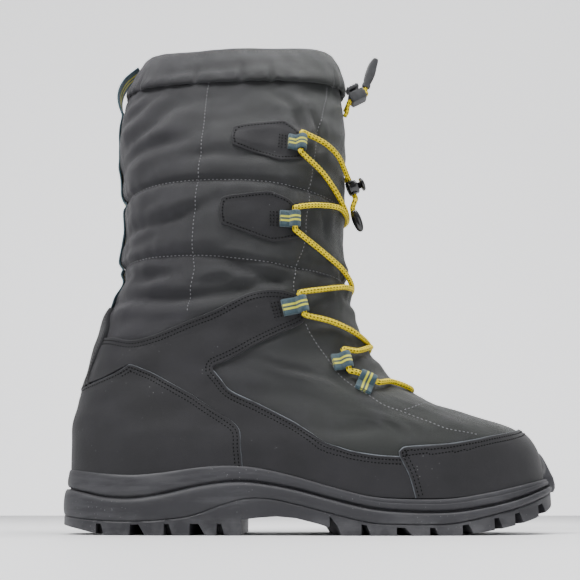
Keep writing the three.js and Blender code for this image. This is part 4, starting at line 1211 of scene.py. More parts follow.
    def build(self) -> list[bpy.types.Object]:
        """Make the sole's pieces.

        Returns:
            The objects.
        """
        rubber = Finish.RUBBER.material
        made = [
            piece("midsole_wall", self.wall_sheet(), rubber, ("midsole",)),
            piece("outsole_tread", self.tread_sheet(), rubber, ("outsole",)),
            piece("toe_bumper_rubber", self.bumper_sheet(), rubber, ("toe_bumper",)),
        ]
        made[1].data.polygons.foreach_set("use_smooth", np.zeros(len(made[1].data.polygons), dtype=bool))
        inset = np.concatenate([np.linspace(0.02, 0.9, 14), [0.97, 1.0, 1.0]])
        rise = np.concatenate([np.full(14, 3.0), [2.8, 2.2, 0.2]]) - LAST.cup_depth
        angle = np.linspace(0, 2 * np.pi, 160, endpoint=False)
        ring = LAST.lifted(np.zeros(160), angle, np.full(160, -LAST.wall - 2.4))
        inner_x = np.clip(ring[:, 0], ring[:, 0].min() + 25, ring[:, 0].max() - 25)
        middle = np.stack([inner_x, np.interp(inner_x, *self.spine(ring)), ring[:, 2]], axis=-1)
        points = middle[None] + (ring - middle)[None] * inset[:, None, None]
        points[..., 2] = LAST.sole_line(1, points[..., 0]) + rise[:, None]
        made.append(piece("insole_pad", grid_sheet(points, wrap=True, flip=True), Finish.FELT.material,
                          ("insole",)))
        return made

    def spine(self, ring: Array) -> tuple[Array, Array]:
        """Middle line of the insole: y halfway between both edges at each x."""
        half = len(ring) // 2
        left, right = ring[: half + 1], np.concatenate([ring[:1], ring[half:][::-1]])
        x = np.linspace(ring[:, 0].min(), ring[:, 0].max(), 60)
        y = (np.interp(x, left[::-1, 0], left[::-1, 1]) + np.interp(x, right[::-1, 0], right[::-1, 1])) / 2
        return x, y


# ------------------------------------------------------------------ shaft
@dataclass
class Shaft:
    """Padded shell, its lining and the rolled cuff with its drawcord channel."""

    around: int = 300
    up: int = 260
    cuff_radius: float = 52.0  # millimetres for each radian round the cuff
    per_level: float = 28.0  # millimetres for each level at the cuff

    def shell_sheet(self) -> Sheet:
        """Shell: the dressed surface from under the sole's rim up to inside the cuff."""
        angle = np.linspace(0, 2 * np.pi, self.around, endpoint=False)
        dense = np.linspace(0.25, 14.2, 1200)
        side = LAST.surface(dense, np.full(1200, -1.9))
        run = arc_lengths(side)
        level = np.interp(np.linspace(0, run[-1], self.up), run, dense)[:, None]
        points = PADDING.dressed(level, angle[None, :], 0.1)
        ring = np.linspace(-1, 1, self.around + 1) * np.pi * PADDING.round_radius
        u = np.broadcast_to(ring, (self.up, self.around + 1))
        v = np.broadcast_to(np.linspace(0, run[-1], self.up)[:, None], (self.up, self.around + 1))
        return grid_sheet(points, wrap=True, u=u, v=v)

    def lining_sheet(self) -> Sheet:
        """Lining: the bare form drawn in by the wall, seen through the collar."""
        angle = np.linspace(0, 2 * np.pi, 120, endpoint=False)
        level = np.linspace(0.05, 14.4, 110)[:, None]
        inset = -LAST.wall + 0.35 * waves(angle[None] * 50, level * 18, 21, 24)
        points = LAST.surface(level, angle[None]) + LAST.normal(level, angle[None]) * inset[..., None]
        return grid_sheet(points, wrap=True, flip=True)

    def cuff_sheet(self) -> Sheet:
        """Rolled cuff: a closed profile carried round the collar, gathered a little at its hem.

        The distance out swells between hem and rim. Ripples of irregular length fade upwards from
        the hem, and three deeper puckers sit on the outer side.
        """
        profile = np.array([
            [14.22, 0.4], [14.06, 0.6], [14.0, 1.1], [13.97, 1.9], [13.98, 2.9], [14.03, 3.7], [14.1, 4.1],
            [14.2, 4.2],
            [14.32, 4.0], [14.45, 3.7], [14.58, 3.3], [14.7, 2.7], [14.8, 2.0], [14.88, 1.3], [14.94, 0.6],
            [14.98, -0.2],
            [15.0, -1.1], [15.0, -2.2], [14.97, -3.2], [14.9, -4.2], [14.8, -4.9], [14.65, -5.5],
            [14.5, -5.9], [14.3, -5.6],
        ])
        fine = smooth_path(profile, 64, np.array([self.per_level, 1.0]))
        count = 420
        angle = np.linspace(0, 2 * np.pi, count, endpoint=False)
        s = wrapped(angle) * self.cuff_radius
        level, lift = fine[:, :1], fine[:, 1:]
        outside = smooth_step((lift + 1.5) / 2.5)
        low = np.exp(-((level - 14.02) / 0.16) ** 2)
        ripple = 0.28 * np.sin(s / 1.35 + 2.6 * np.sin(s / 11)) * low
        for place in (-1.92, -1.5, -1.23, 1.3, 1.75, 2.3, -2.6, 0.5, -0.42):
            near = np.exp(-(((wrapped(angle) - place) * self.cuff_radius / 1.6) ** 2))
            ripple = ripple - 2.0 * near * np.exp(-((level - 13.98) / 0.34) ** 2)
        soft = 0.35 * waves(s[None], level * self.per_level, 31, 40) + 0.2 * waves(s[None],
                level * self.per_level, 33, 14)
        points = LAST.surface(level, angle[None]) + LAST.normal(level, angle[None]) * (
            lift + (ripple + soft) * outside)[..., None]
        rim = smooth_step((level - 14.3) / 0.7)
        size = np.abs(wrapped(angle))[None]
        tent = 1 - np.sqrt(((size - 1.5) / 1.15) ** 2 + 0.004)
        points[..., 2] += rim * (4.8 * np.clip(tent, -0.45, 1)) + (1 - rim) * 2.6 * np.cos(angle)[None]
        points[..., 2] += rim * 0.25 * waves(s[None], 0 * level, 35, 60)
        u = np.broadcast_to(np.linspace(-1, 1, count + 1) * np.pi * self.cuff_radius, (64, count + 1))
        v = np.broadcast_to(arc_lengths(fine * [self.per_level, 1.0])[:, None], (64, count + 1))
        return grid_sheet(points, wrap=True, u=u, v=v)

    def build(self) -> list[bpy.types.Object]:
        """Make the shaft's pieces.

        Returns:
            The objects.
        """
        cloth = Finish.CLOTH.material
        shell = piece("shaft_shell", self.shell_sheet(), cloth, ("upper",))
        lining = piece("shaft_lining", self.lining_sheet(), Finish.LINING.material)
        cuff = piece("cuff_roll", self.cuff_sheet(), cloth, ("cuff",))
        return [shell, lining, cuff]


# ------------------------------------------------------------------ overlays
@dataclass
class Panel:
    """Leather panel that lies on the shell inside four borders.

    Each border is a short table of (level, angle). The panel is a Coons patch of the four, so its
    grid follows every border, and its rim is rounded down onto the shell.

    Attributes:
        bottom: lower border, from start to end.
        top: upper border, likewise.
        start: border that joins their first points, from bottom to top.
        end: border that joins their last points.
        thickness: thickness in millimetres.
        free: which borders are cut edges: bottom, top, start, end.
        share: share of the shell's relief that it follows.
    """

    name: str
    bottom: Array
    top: Array
    start: Array
    end: Array
    thickness: float = 1.6
    free: tuple[bool, bool, bool, bool] = (False, True, True, True)
    share: float = 0.75
    # borders whose turned edge gets a painted highlight: bottom, top, start, end
    pale: tuple[bool, bool, bool, bool] = (False, False, False, False)
    step: float = 1.7
    domain_scale: tuple[float, float] = DOMAIN

    def border(self, table: Array, at: Array) -> Array:
        """Places along one border at shares of its length."""
        scale = np.array(self.domain_scale)
        line = smooth_path(table, 400, scale)
        return np.stack([np.interp(at, np.linspace(0, 1, 400), line[:, k]) for k in (0, 1)], axis=1)

    def places(self, s: Array, t: Array) -> Array:
        """Coons patch: blend of the borders both ways, less the blend of the corners."""
        low, high = self.border(self.bottom, s), self.border(self.top, s)
        left, right = self.border(self.start, t), self.border(self.end, t)
        ends = np.array([0.0, 1.0])
        (a, b), (c, d) = self.border(self.bottom, ends), self.border(self.top, ends)
        s, t = s[:, None, None], t[None, :, None]
        corners = (1 - s) * (1 - t) * a + s * (1 - t) * b + (1 - s) * t * c + s * t * d
        return ((1 - t) * low[:, None] + t * high[:, None] + (1 - s) * left[None] + s * right[None] - corners)

    def lengths(self) -> tuple[float, float]:
        """Rough length and height of the panel in millimetres."""
        s, t = np.linspace(0, 1, 40), np.linspace(0, 1, 20)
        places = self.places(s, t)
        points = LAST.surface(places[..., 0], places[..., 1])
        return (float(np.linalg.norm(np.diff(points, axis=0), axis=-1).sum(axis=0).max()),
                float(np.linalg.norm(np.diff(points, axis=1), axis=-1).sum(axis=1).max()))

    def borders_off(self, points: Array) -> list[Array]:
        """Distance of every point from each border, measured along the grid's lines."""
        up = np.concatenate([np.zeros((points.shape[0], 1)),
                             np.cumsum(np.linalg.norm(np.diff(points, axis=1), axis=-1), axis=1)], axis=1)
        along = np.concatenate([np.zeros((1, points.shape[1])),
                                np.cumsum(np.linalg.norm(np.diff(points, axis=0), axis=-1), axis=0)], axis=0)
        return [up, up[:, -1:] - up, along, along[-1:] - along]

    def sheet(self, mirror: bool = False) -> Sheet:
        """The panel's mesh.

        Args:
            mirror: makes the inner side's copy.

        Returns:
            The sheet, with the marks rim (painted highlight along the turned edges flagged in pale).
        """
        length, height = self.lengths()
        s, t = edged(length, self.step), edged(height, self.step)
        places = self.places(s, t)
        angle = -places[..., 1] if mirror else places[..., 1]
        bare = LAST.surface(places[..., 0], angle)
        off = self.borders_off(bare)
        lift = np.full(off[0].shape, self.thickness)
        rim = np.zeros(off[0].shape)
        radius = 0.8
        for distance, free, pale in zip(off, self.free, self.pale):
            if free:
                near = np.clip(distance / radius, 0, 1)
                lift = np.minimum(lift, self.thickness * np.sqrt(np.maximum(1 - (1 - near) ** 2, 0)) - 0.5
                                  * (near <= 0))
                for row in (2.3, 4.6):
                    lift = lift - 0.22 * np.exp(-(((distance - row) / 0.7) ** 2))
            # painted highlight along this turned edge, fading out over 0.9 mm
            if pale:
                rim = np.maximum(rim, 1 - smooth_step(distance / 0.9))
        points = PADDING.dressed(places[..., 0], angle, lift, self.share)
        return grid_sheet(points, flip=not mirror, marks={"rim": rim})

    def stitch_row(self, border: str, inset: float, mirror: bool, pitch: float = 2.05, length: float = 1.3,
                   radius: float = 0.5, span: tuple[float, float] = (0.0, 1.0)) -> Sheet:
        """Row of stitches that keeps a distance from one border.

        Args:
            border: top, bottom, start or end.
            inset: distance from it.
            mirror: for the inner side's copy.
            pitch: stitch to stitch.
            length: length of a stitch.
            radius: thread radius.
            span: part of the border that is stitched.

        Returns:
            The stitches.
        """
        many, step = np.linspace(*span, 300), 1e-3
        depth = np.array([0.0, 0.04])
        if border in ("top", "end"):
            depth = 1 - depth
        across = border in ("top", "bottom")
        both = self.places(many, depth) if across else np.swapaxes(self.places(depth, many), 0, 1)
        level, turn = both[:, 0, 0], both[:, 0, 1] * (-1 if mirror else 1)
        level = np.clip(level, 0.02, 14.9)
        here = LAST.surface(level, turn)
        inward = np.cross(LAST.normal(level, turn), np.gradient(here, axis=0))
        inward /= np.linalg.norm(inward, axis=1, keepdims=True)
        towards = LAST.surface(both[:, 1, 0], both[:, 1, 1] * (-1 if mirror else 1)) - here
        inward *= np.sign(np.sum(inward * towards, axis=1, keepdims=True)) * inset / 4
        inward = np.stack([softened(inward[:, k]) for k in range(3)], axis=1)
        for _ in range(4):
            here = LAST.surface(level, turn)
            up = (LAST.surface(level + step, turn) - here) / step
            around = (LAST.surface(level, turn + step) - here) / step
            uu, aa, ua = np.sum(up * up, 1), np.sum(around * around, 1), np.sum(up * around, 1)
            iu, ia = np.sum(inward * up, 1), np.sum(inward * around, 1)
            level = level + (iu * aa - ia * ua) / (uu * aa - ua * ua)
            turn = turn + (ia * uu - iu * ua) / (uu * aa - ua * ua)
        path = PADDING.dressed(level, turn, self.thickness - 0.1, self.share)
        return stitches(path, LAST.normal(level, turn), pitch, length, radius)


def softened(values: Array, span: int = 9) -> Array:
    """Running mean of a row of values, its ends held."""
    padded = np.concatenate([np.full(span // 2, values[0]), values, np.full(span // 2, values[-1])])
    return np.convolve(padded, np.full(span, 1 / span), mode="valid")


def turned(places: list[tuple[float, float]]) -> Array:
    """Table of (level, angle) as an array."""
    return np.array(places, dtype=float)


@dataclass
class Overlays:
    """Leather quarter, heel counter, back stay, toe cap and lace patches, with their stitching."""

    foot: float = 0.18

    def panels(self) -> dict[str, Panel]:
        """Every panel on the outer side; angles are negative there and run back to -PI.

        Returns:
            Panels by name.
        """
        foot = self.foot
        arm = Panel(
            "quarter_arm",
            bottom=turned([(3.38, -3.1416), (3.5, -2.9), (3.75, -2.68), (4.22, -2.5), (4.4, -2.41),
                           (4.28, -2.33), (3.95, -2.24),
                           (3.2, -2.13), (2.95, -2.1)]),
            top=turned([(5.5, -3.1416), (5.52, -2.8), (5.5, -2.62), (5.44, -2.5), (5.4, -2.4), (5.44, -2.3),
                        (5.65, -2.13),
                        (6.08, -1.89), (6.45, -1.68), (6.93, -1.48), (7.1, -1.38), (7.19, -1.26),
                        (7.2, -1.15), (7.12, -1.03)]),
            start=turned([(3.38, -3.1416), (5.5, -3.1416)]),
            end=turned([(2.95, -2.1), (3.6, -1.98), (4.2, -1.895), (4.4, -1.875), (4.6, -1.845),
                        (4.72, -1.8), (5.45, -1.47),
                        (5.95, -1.2), (6.2, -1.05), (6.36, -0.985), (6.6, -0.965), (6.9, -0.98),
                        (7.12, -1.03)]),
            free=(False, True, False, True), thickness=1.6)
        wing = Panel(
            "quarter_wing",
            bottom=turned([(foot, -2.08), (foot, -1.9), (foot, -1.7), (foot, -1.5)]),
            top=turned([(4.45, -1.872), (4.05, -1.893), (3.46, -1.912), (2.85, -1.86), (2.2, -1.82),
                        (1.6, -1.8), (1.17, -1.78),
                        (0.96, -1.73), (0.88, -1.67), (0.845, -1.61), (0.83, -1.5)]),
            start=turned([(foot, -2.08), (1.0, -2.07), (1.65, -2.05), (2.25, -2.06), (2.95, -2.1),
                          (3.7, -1.99), (4.45, -1.872)]),
            end=turned([(foot, -1.5), (0.83, -1.5)]),
            free=(False, True, False, False), pale=(False, True, False, False), thickness=1.6)
        counter = Panel(
            "heel_counter_leather",
            bottom=turned([(foot, -3.1416), (foot, -2.7), (foot, -2.4), (foot, -2.05)]),
            top=turned([(3.3, -3.1416), (3.35, -2.95), (3.55, -2.76), (3.9, -2.59), (4.3, -2.455),
                        (4.44, -2.41), (4.36, -2.35),
                        (3.99, -2.24), (3.22, -2.13), (2.75, -2.085), (2.38, -2.05)]),
            start=turned([(foot, -3.1416), (3.3, -3.1416)]),
            end=turned([(foot, -2.05), (0.61, -2.052), (1.0, -2.05), (1.4, -2.038), (1.75, -2.027),
                        (2.05, -2.028), (2.38, -2.05)]),
            free=(False, True, False, True), pale=(False, True, False, True), thickness=2.1)
        stay = Panel(
            "back_stay_leather",
            bottom=turned([(3.2, -3.1416), (3.25, -3.0), (3.42, -2.84)]),
            top=turned([(6.75, -3.1416), (6.72, -3.0), (6.62, -2.85)]),
            start=turned([(3.2, -3.1416), (6.75, -3.1416)]),
            end=turned([(3.42, -2.84), (3.81, -2.895), (4.29, -2.89), (4.83, -2.83), (5.29, -2.77),
                        (5.67, -2.745), (6.11, -2.785),
                        (6.62, -2.85)]),
            free=(True, True, False, True), thickness=2.7)
        cap = Panel(
            "toe_cap_leather",
            bottom=turned([(foot, -1.5), (foot, -1.2), (foot, -0.8), (foot, -0.4), (foot, 0.0)]),
            top=turned([(0.92, -1.572), (1.0, -1.535), (1.05, -1.44), (1.1, -1.3), (1.17, -1.18),
                        (1.34, -1.0), (1.52, -0.83),
                        (1.79, -0.5), (1.97, -0.24), (2.05, 0.0)]),
            start=turned([(foot, -1.5), (0.5, -1.53), (0.7, -1.56), (0.8, -1.573), (0.92, -1.572)]),
            end=turned([(foot, 0.0), (2.05, 0.0)]),
            free=(False, True, True, False), pale=(False, True, True, False), thickness=2.2)
        return {"arm": arm, "wing": wing, "counter": counter, "stay": stay, "cap": cap}

    def patches(self) -> list[Panel]:
        """The two leather patches under the upper lace loops."""
        upper = Panel(
            "lace_patch_upper",
            bottom=turned([(11.79, -1.545), (11.64, -1.39), (11.5, -1.2), (11.475, -1.13), (11.52, -1.0),
                           (11.58, -0.91)]),
            top=turned([(12.24, -1.535), (12.3, -1.5), (12.37, -1.345), (12.46, -1.125), (12.42, -1.07),
                        (12.26, -0.97), (12.03, -0.88)]),
            start=turned([(11.79, -1.545), (12.0, -1.556), (12.24, -1.535)]),
            end=turned([(11.58, -0.91), (11.8, -0.885), (12.03, -0.88)]),
            free=(True, True, True, True), thickness=1.3, step=1.5, share=0.9, domain_scale=(28.0, 44.0))
        lower = Panel(
            "lace_patch_lower",
            bottom=turned([(9.76, -1.655), (9.54, -1.45), (9.34, -1.25), (9.33, -1.17), (9.42, -1.05),
                           (9.51, -0.94)]),
            top=turned([(10.46, -1.655), (10.52, -1.62), (10.6, -1.45), (10.68, -1.25), (10.64, -1.17),
                        (10.49, -1.04), (10.21, -0.95)]),
            start=turned([(9.76, -1.655), (10.1, -1.673), (10.46, -1.655)]),
            end=turned([(9.51, -0.94), (9.85, -0.925), (10.21, -0.95)]),
            free=(True, True, True, True), thickness=1.3, step=1.5, share=0.9, domain_scale=(23.0, 44.0))
        return [upper, lower]

    def build(self) -> list[bpy.types.Object]:
        """Make all panels and stitch rows.

        Returns:
            The objects.
        """
        leather = Finish.NUBUCK.material
        panels = self.panels()
        groups = {
            "quarter_leather": (["arm", "wing"], ("quarter_panel",)),
            "heel_counter_leather": (["counter"], ("heel_counter",)),
            "back_stay_leather": (["stay"], ("back_stay",)),
            "toe_cap_leather": (["cap"], ("toe_cap",)),
        }
        made = []
        for name, (keys, nodes) in groups.items():
            sheets = [panels[key].sheet(mirror) for key in keys for mirror in (False, True)]
            made.append(piece(name, joined(sheets), leather, nodes, merge=0.02))
        sheets = [patch.sheet(mirror) for patch in self.patches() for mirror in (False, True)]
        made.append(piece("lace_patches", joined(sheets), leather))
        rows = []
        for mirror in (False, True):
            for inset in (2.3, 4.6):
                rows.append(panels["arm"].stitch_row("top", inset, mirror, span=(0.075, 1)))
                rows.append(panels["arm"].stitch_row("end", inset, mirror, span=(0.285, 1)))
                rows.append(panels["wing"].stitch_row("top", inset, mirror, span=(0, 0.96)))
                rows.append(panels["counter"].stitch_row("end", inset, mirror))
                rows.append(panels["cap"].stitch_row("top", inset, mirror))
                rows.append(panels["cap"].stitch_row("start", inset, mirror))
            rows.append(panels["counter"].stitch_row("top", 2.3, mirror, span=(0.1, 1)))
            rows.append(panels["counter"].stitch_row("top", 4.6, mirror, span=(0.42, 1)))
            rows.append(panels["stay"].stitch_row("end", 1.8, mirror))
            for patch in self.patches():
                for border in ("top", "bottom", "start", "end"):
                    rows.append(patch.stitch_row(border, 2.2, mirror, span=(0.05, 0.95)))
        made.append(piece("overlay_stitches", joined(rows), Finish.BLACK_THREAD.material))
        return made


@dataclass
class ShellSeams:
    """Pale top-stitching along the shell's own seams and quilting lines."""

    pitch: float = 2.6
    length: float = 1.35
    radius: float = 0.3

    def row(self, level: Array, angle: Array, lift: float = 0.15) -> Sheet:
        """One row of pale stitches through the given places."""
        path = PADDING.dressed(level, angle, lift)
        return stitches(path, LAST.normal(level, angle), self.pitch, self.length, self.radius, 0.2)

    def build(self) -> list[bpy.types.Object]:
        """Make the rows.

        Returns:
            The objects.
        """
        rows, dark = [], []
        vamp = smooth_path(turned([(6.3, -0.96), (5.84, -0.95), (5.36, -0.93), (4.8, -0.98), (4.23, -1.05),
                                   (3.77, -1.09),
                                   (3.18, -1.16), (2.85, -1.13), (2.31, -1.14), (1.86, -1.11),
                                   (1.57, -0.93)]), 200,
                           np.array(DOMAIN))
        cross = smooth_path(turned([(2.92, -1.11), (3.3, -0.85), (3.9, -0.45), (4.27, -0.19), (4.35, 0.0)]),
                            120,
                            np.array(DOMAIN))
        for side in (1.0, -1.0):
            level = np.linspace(6.35, 14.05, 300)
            rows.append(self.row(level, -side * (PADDING.seam_angle(0, level) + 0.012)))
            level = np.linspace(7.2, 14.05, 300)
            rows.append(self.row(level, -side * (PADDING.seam_angle(1, level) + 0.02)))
            rows.append(self.row(vamp[:, 0], side * (vamp[:, 1] - 0.02)))
            rows.append(self.row(cross[:, 0] + 0.04, side * cross[:, 1]))
        angle = np.linspace(0.02, 2 * np.pi - 0.02, 700)
        for which in (0, 1):
            line = PADDING.quilt_level(which, angle)
            dark.append(self.row(line, angle, 0.3))
        return [
            piece("seam_stitches", joined(rows), Finish.PALE_THREAD.material),
            piece("quilting_stitches", joined(dark), Finish.PALE_THREAD.material),
        ]


# ------------------------------------------------------------------ webbing and lace
def unit(vector: Array) -> Array:
    """The vector at length 1."""
    return np.asarray(vector, float) / np.linalg.norm(vector)


def flat_section(flat: float, shoulder: float) -> Array:
    """Section of a webbing strip, for a width of 1 and a half thickness of 1.

    Args:
        flat: half width of its flat faces.
        shoulder: height of its shoulders, close to the edges.

    Returns:
        Points round it from the middle of one face.
    """
    half = np.array([[0.0, 1.0], [flat, 1.0], [0.46, shoulder], [0.5, 0.0], [0.46, -shoulder], [flat, -1.0]])
    return np.concatenate([half, -half])


@dataclass(frozen=True)
class LoopPlace:
    """Where a lace loop sits: its place, its turn up from forwards, its length and what it lies on."""

    level: float
    angle: float
    turn: float
    length: float
    lift: float


@dataclass
class LaceLoops:
    """Folded webbing loops that carry the lace, five on each side, and the webbing at the back."""

    width: float = 10.5
    thickness: float = 1.3
    bulb: float = 3.8 / 2 + 0.35 + 1.3
    places: tuple[LoopPlace, ...] = (
        LoopPlace(11.9, 0.99, -3, 13, 1.5), LoopPlace(9.95, 1.06, 0, 14, 1.5),
        LoopPlace(6.7, 1.07, 14, 17, 2.3),
        LoopPlace(5.25, 0.87, 14, 13, 0.9), LoopPlace(4.4, 0.93, 72, 15, 0.9),
    )

    def frame(self, place: LoopPlace, side: int) -> dict[str, Array]:
        """Directions and eye of one loop.

        Args:
            place: where it sits.
            side: -1 outer, 1 inner.

        Returns:
            out, strap, across, foot and eye.
        """
        out = LAST.normal(place.level, side * place.angle)
        strap = unit(np.array([1.0, 0, 0]) - out * out[0])
        turn = math.radians(-side * place.turn)
        strap = strap * math.cos(turn) + np.cross(out, strap) * math.sin(turn)
        across = np.cross(out, strap) * -side
        foot = LAST.lifted(place.level, side * place.angle, place.lift)
        eye = foot + strap * (place.length / 2 - self.bulb) + out * self.bulb
        return {"out": out, "strap": strap, "across": across, "foot": foot, "eye": eye}

    def band(self, place: LoopPlace, side: int) -> Sheet:
        """One loop: a flat strip folded round the lace, closed where its two plies are sewn.

        The strip's middle line runs forwards over the leather, round the lace in most of a circle
        and back on top of itself. Its thickness is laid out square to that line.
        """
        at = self.frame(place, side)
        rear, centre = -place.length / 2 + 1.2, place.length / 2 - self.bulb
        half = self.thickness / 2
        turn = np.linspace(-np.pi / 2, np.pi / 2, 13)
        mid = self.bulb - half
        straight = np.linspace(rear, centre - 2.0, 10)
        under = np.stack([straight, np.full(10, half)], axis=1)
        round_it = np.stack([centre + mid * np.cos(turn), self.bulb + mid * np.sin(turn)], axis=1)
        top = np.array([[centre - 1.6, 2 * self.bulb - half - 0.7], [centre - 3.4, 3.3 * half],
                        [centre - 5.0, 3.05 * half]])
        back = np.stack([np.linspace(centre - 6.5, rear, 7), np.full(7, 3.0 * half)], axis=1)
        line = smooth_path(np.concatenate([under, round_it, top, back]), 90)
        ahead = np.gradient(line, axis=0)
        ahead /= np.linalg.norm(ahead, axis=1, keepdims=True)
        square = np.stack([ahead[:, 1], -ahead[:, 0]], axis=1)
        run = arc_lengths(line)
        section = flat_section(0.35, 0.8)
        flat = line[:, None] + square[:, None] * (section[None, :, 1:] * half * 0.94)
        points = (at["foot"] + flat[..., :1] * at["strap"] + flat[..., 1:] * at["out"]
                  + (section[:, 0] * self.width)[None, :, None] * at["across"])
        u = section[:, 0] + 0.5
        u = np.broadcast_to(np.append(u, u[0]), (len(line), len(section) + 1))
        v = np.broadcast_to(run[:, None], u.shape)
        return grid_sheet(points, wrap=True, flip=side > 0, u=u, v=v, capped=True)

    def eye_exit(self, index: int, side: int, way: int, beyond: float = 0.0) -> Array:
        """Point where a lace leaves an eye: way 1 is the loop's upper side, -1 its lower side."""
        at = self.frame(self.places[index], side)
        return at["eye"] + at["across"] * way * (self.width / 2 + 0.3 + beyond)

    def box_stitches(self) -> Sheet:
        """Two short rows of dark stitches across the sewn end of each of the upper three loops."""
        rows = []
        for index in (0, 1, 2):
            for side in (-1, 1):
                place = self.places[index]
                at = self.frame(place, side)
                for back in (0.4, 2.5, 4.6):
                    start = at["foot"] - at["strap"] * (place.length / 2 + back) - at["out"] * 0.1
                    line = start + np.linspace(-5.5, 5.5, 24)[:, None] * at["across"]
                    rows.append(stitches(line, np.broadcast_to(at["out"], line.shape), 2.1, 1.0, 0.42))
        return joined(rows)

    def pull_loop(self) -> Sheet:
        """Bowed webbing strap at the back of the cuff, and the strip that runs down from it."""
        spine = smooth_path(np.array([[33, 0, 318], [28.4, 0, 314], [24.0, 0, 309.5], [20.7, 0, 303],
                                      [19.6, 0, 296],
                                      [20.9, 0, 288.5], [23.4, 0, 282], [25.5, 0, 276]]), 60)
        return self.ribbon(spine, 15.0, 1.4)

    def back_strip(self) -> Sheet:
        """Webbing strip sewn down the back of the shaft."""
        level = np.linspace(13.3, 6.6, 120)
        spine = PADDING.dressed(level, np.full(120, np.pi), 1.1)
        spine[:, 1] = 0
        return self.ribbon(spine, 15.0, 1.2)

    def ribbon(self, spine: Array, width: float, thickness: float) -> Sheet:
        """Flat ribbon of the given width along a line in the plane y = 0.

        Args:
            spine: its middle line.
            width: its width along y.
            thickness: its thickness.

        Returns:
            The ribbon, closed all round.
        """
        ahead = np.gradient(spine, axis=0)
        ahead /= np.linalg.norm(ahead, axis=1, keepdims=True)
        square = np.cross(ahead, [0.0, 1.0, 0.0])
        section = flat_section(0.3, 0.9)
        points = (spine[:, None] + square[:, None] * (section[None, :, 1:] * thickness / 2)
                  + np.array([0.0, 1.0, 0.0]) * (section[None, :, :1] * width))
        u = section[:, 0] + 0.5
        u = np.broadcast_to(np.append(u, u[0]), (len(spine), len(section) + 1))
        v = np.broadcast_to(arc_lengths(spine)[:, None], u.shape)
        return grid_sheet(points, wrap=True, flip=True, u=u, v=v, capped=True)

    def build(self) -> list[bpy.types.Object]:
        """Make the webbing.

        Returns:
            The objects.
        """
        webbing = Finish.WEBBING.material
        made = []
        for name, side in (("lateral", -1), ("medial", 1)):
            bands = [self.band(place, side) for place in self.places]
            nodes = tuple(f"lace_loop_{name}_{i + 1}" for i in range(5))
            made.append(piece(f"lace_loops_{name}", joined(bands), webbing, nodes))
        made.append(piece("loop_stitches", self.box_stitches(), Finish.BLACK_THREAD.material))
        made.append(piece("pull_loop_webbing", self.pull_loop(), webbing, ("pull_loop",)))
        made.append(piece("back_strip_webbing", self.back_strip(), webbing))
        return made


@dataclass
class CordLock:
    """Frame of a cord lock: the middle of its channel, its button's way and its cord's way."""

    at: Array
    press: Array
    channel: Array
    reach: float
    floor: float = 0.8
    channel_height: float = 4.2

    def axes(self) -> Array:
        """Local x, y and z as columns: y along the channel and z towards the button."""
        z = unit(self.press)
        y = unit(self.channel - z * (self.channel @ z))
        return np.stack([np.cross(y, z), y, z], axis=1)

    def matrix(self) -> Array:
        """Matrix that stands a shape on the body's bottom."""
        made = np.eye(4)
        made[:3, :3] = self.axes()
        made[:3, 3] = self.at - self.axes()[:, 2] * (self.floor + self.channel_height / 2)
        return made

    def mouth(self, way: int, offset: float, beyond: float = 0.0) -> Array:
        """Middle of the channel's mouth on one side, moved along local x."""
        axes = self.axes()
        return self.at + axes[:, 1] * way * (self.reach + 0.3 + beyond) + axes[:, 0] * offset


LACE_LOCK = CordLock(np.array([182.4, -8, 226.4]), np.array([0.93, 0, 0.37]), np.array([-0.3, -0.15, 0.82]),
                     4.9)
COLLAR_LOCK = CordLock(np.array([188.6, -3, 296.2]), np.array([-0.47, 0, 0.88]), np.array([0.88, 0, 0.47]),
                       5.5)


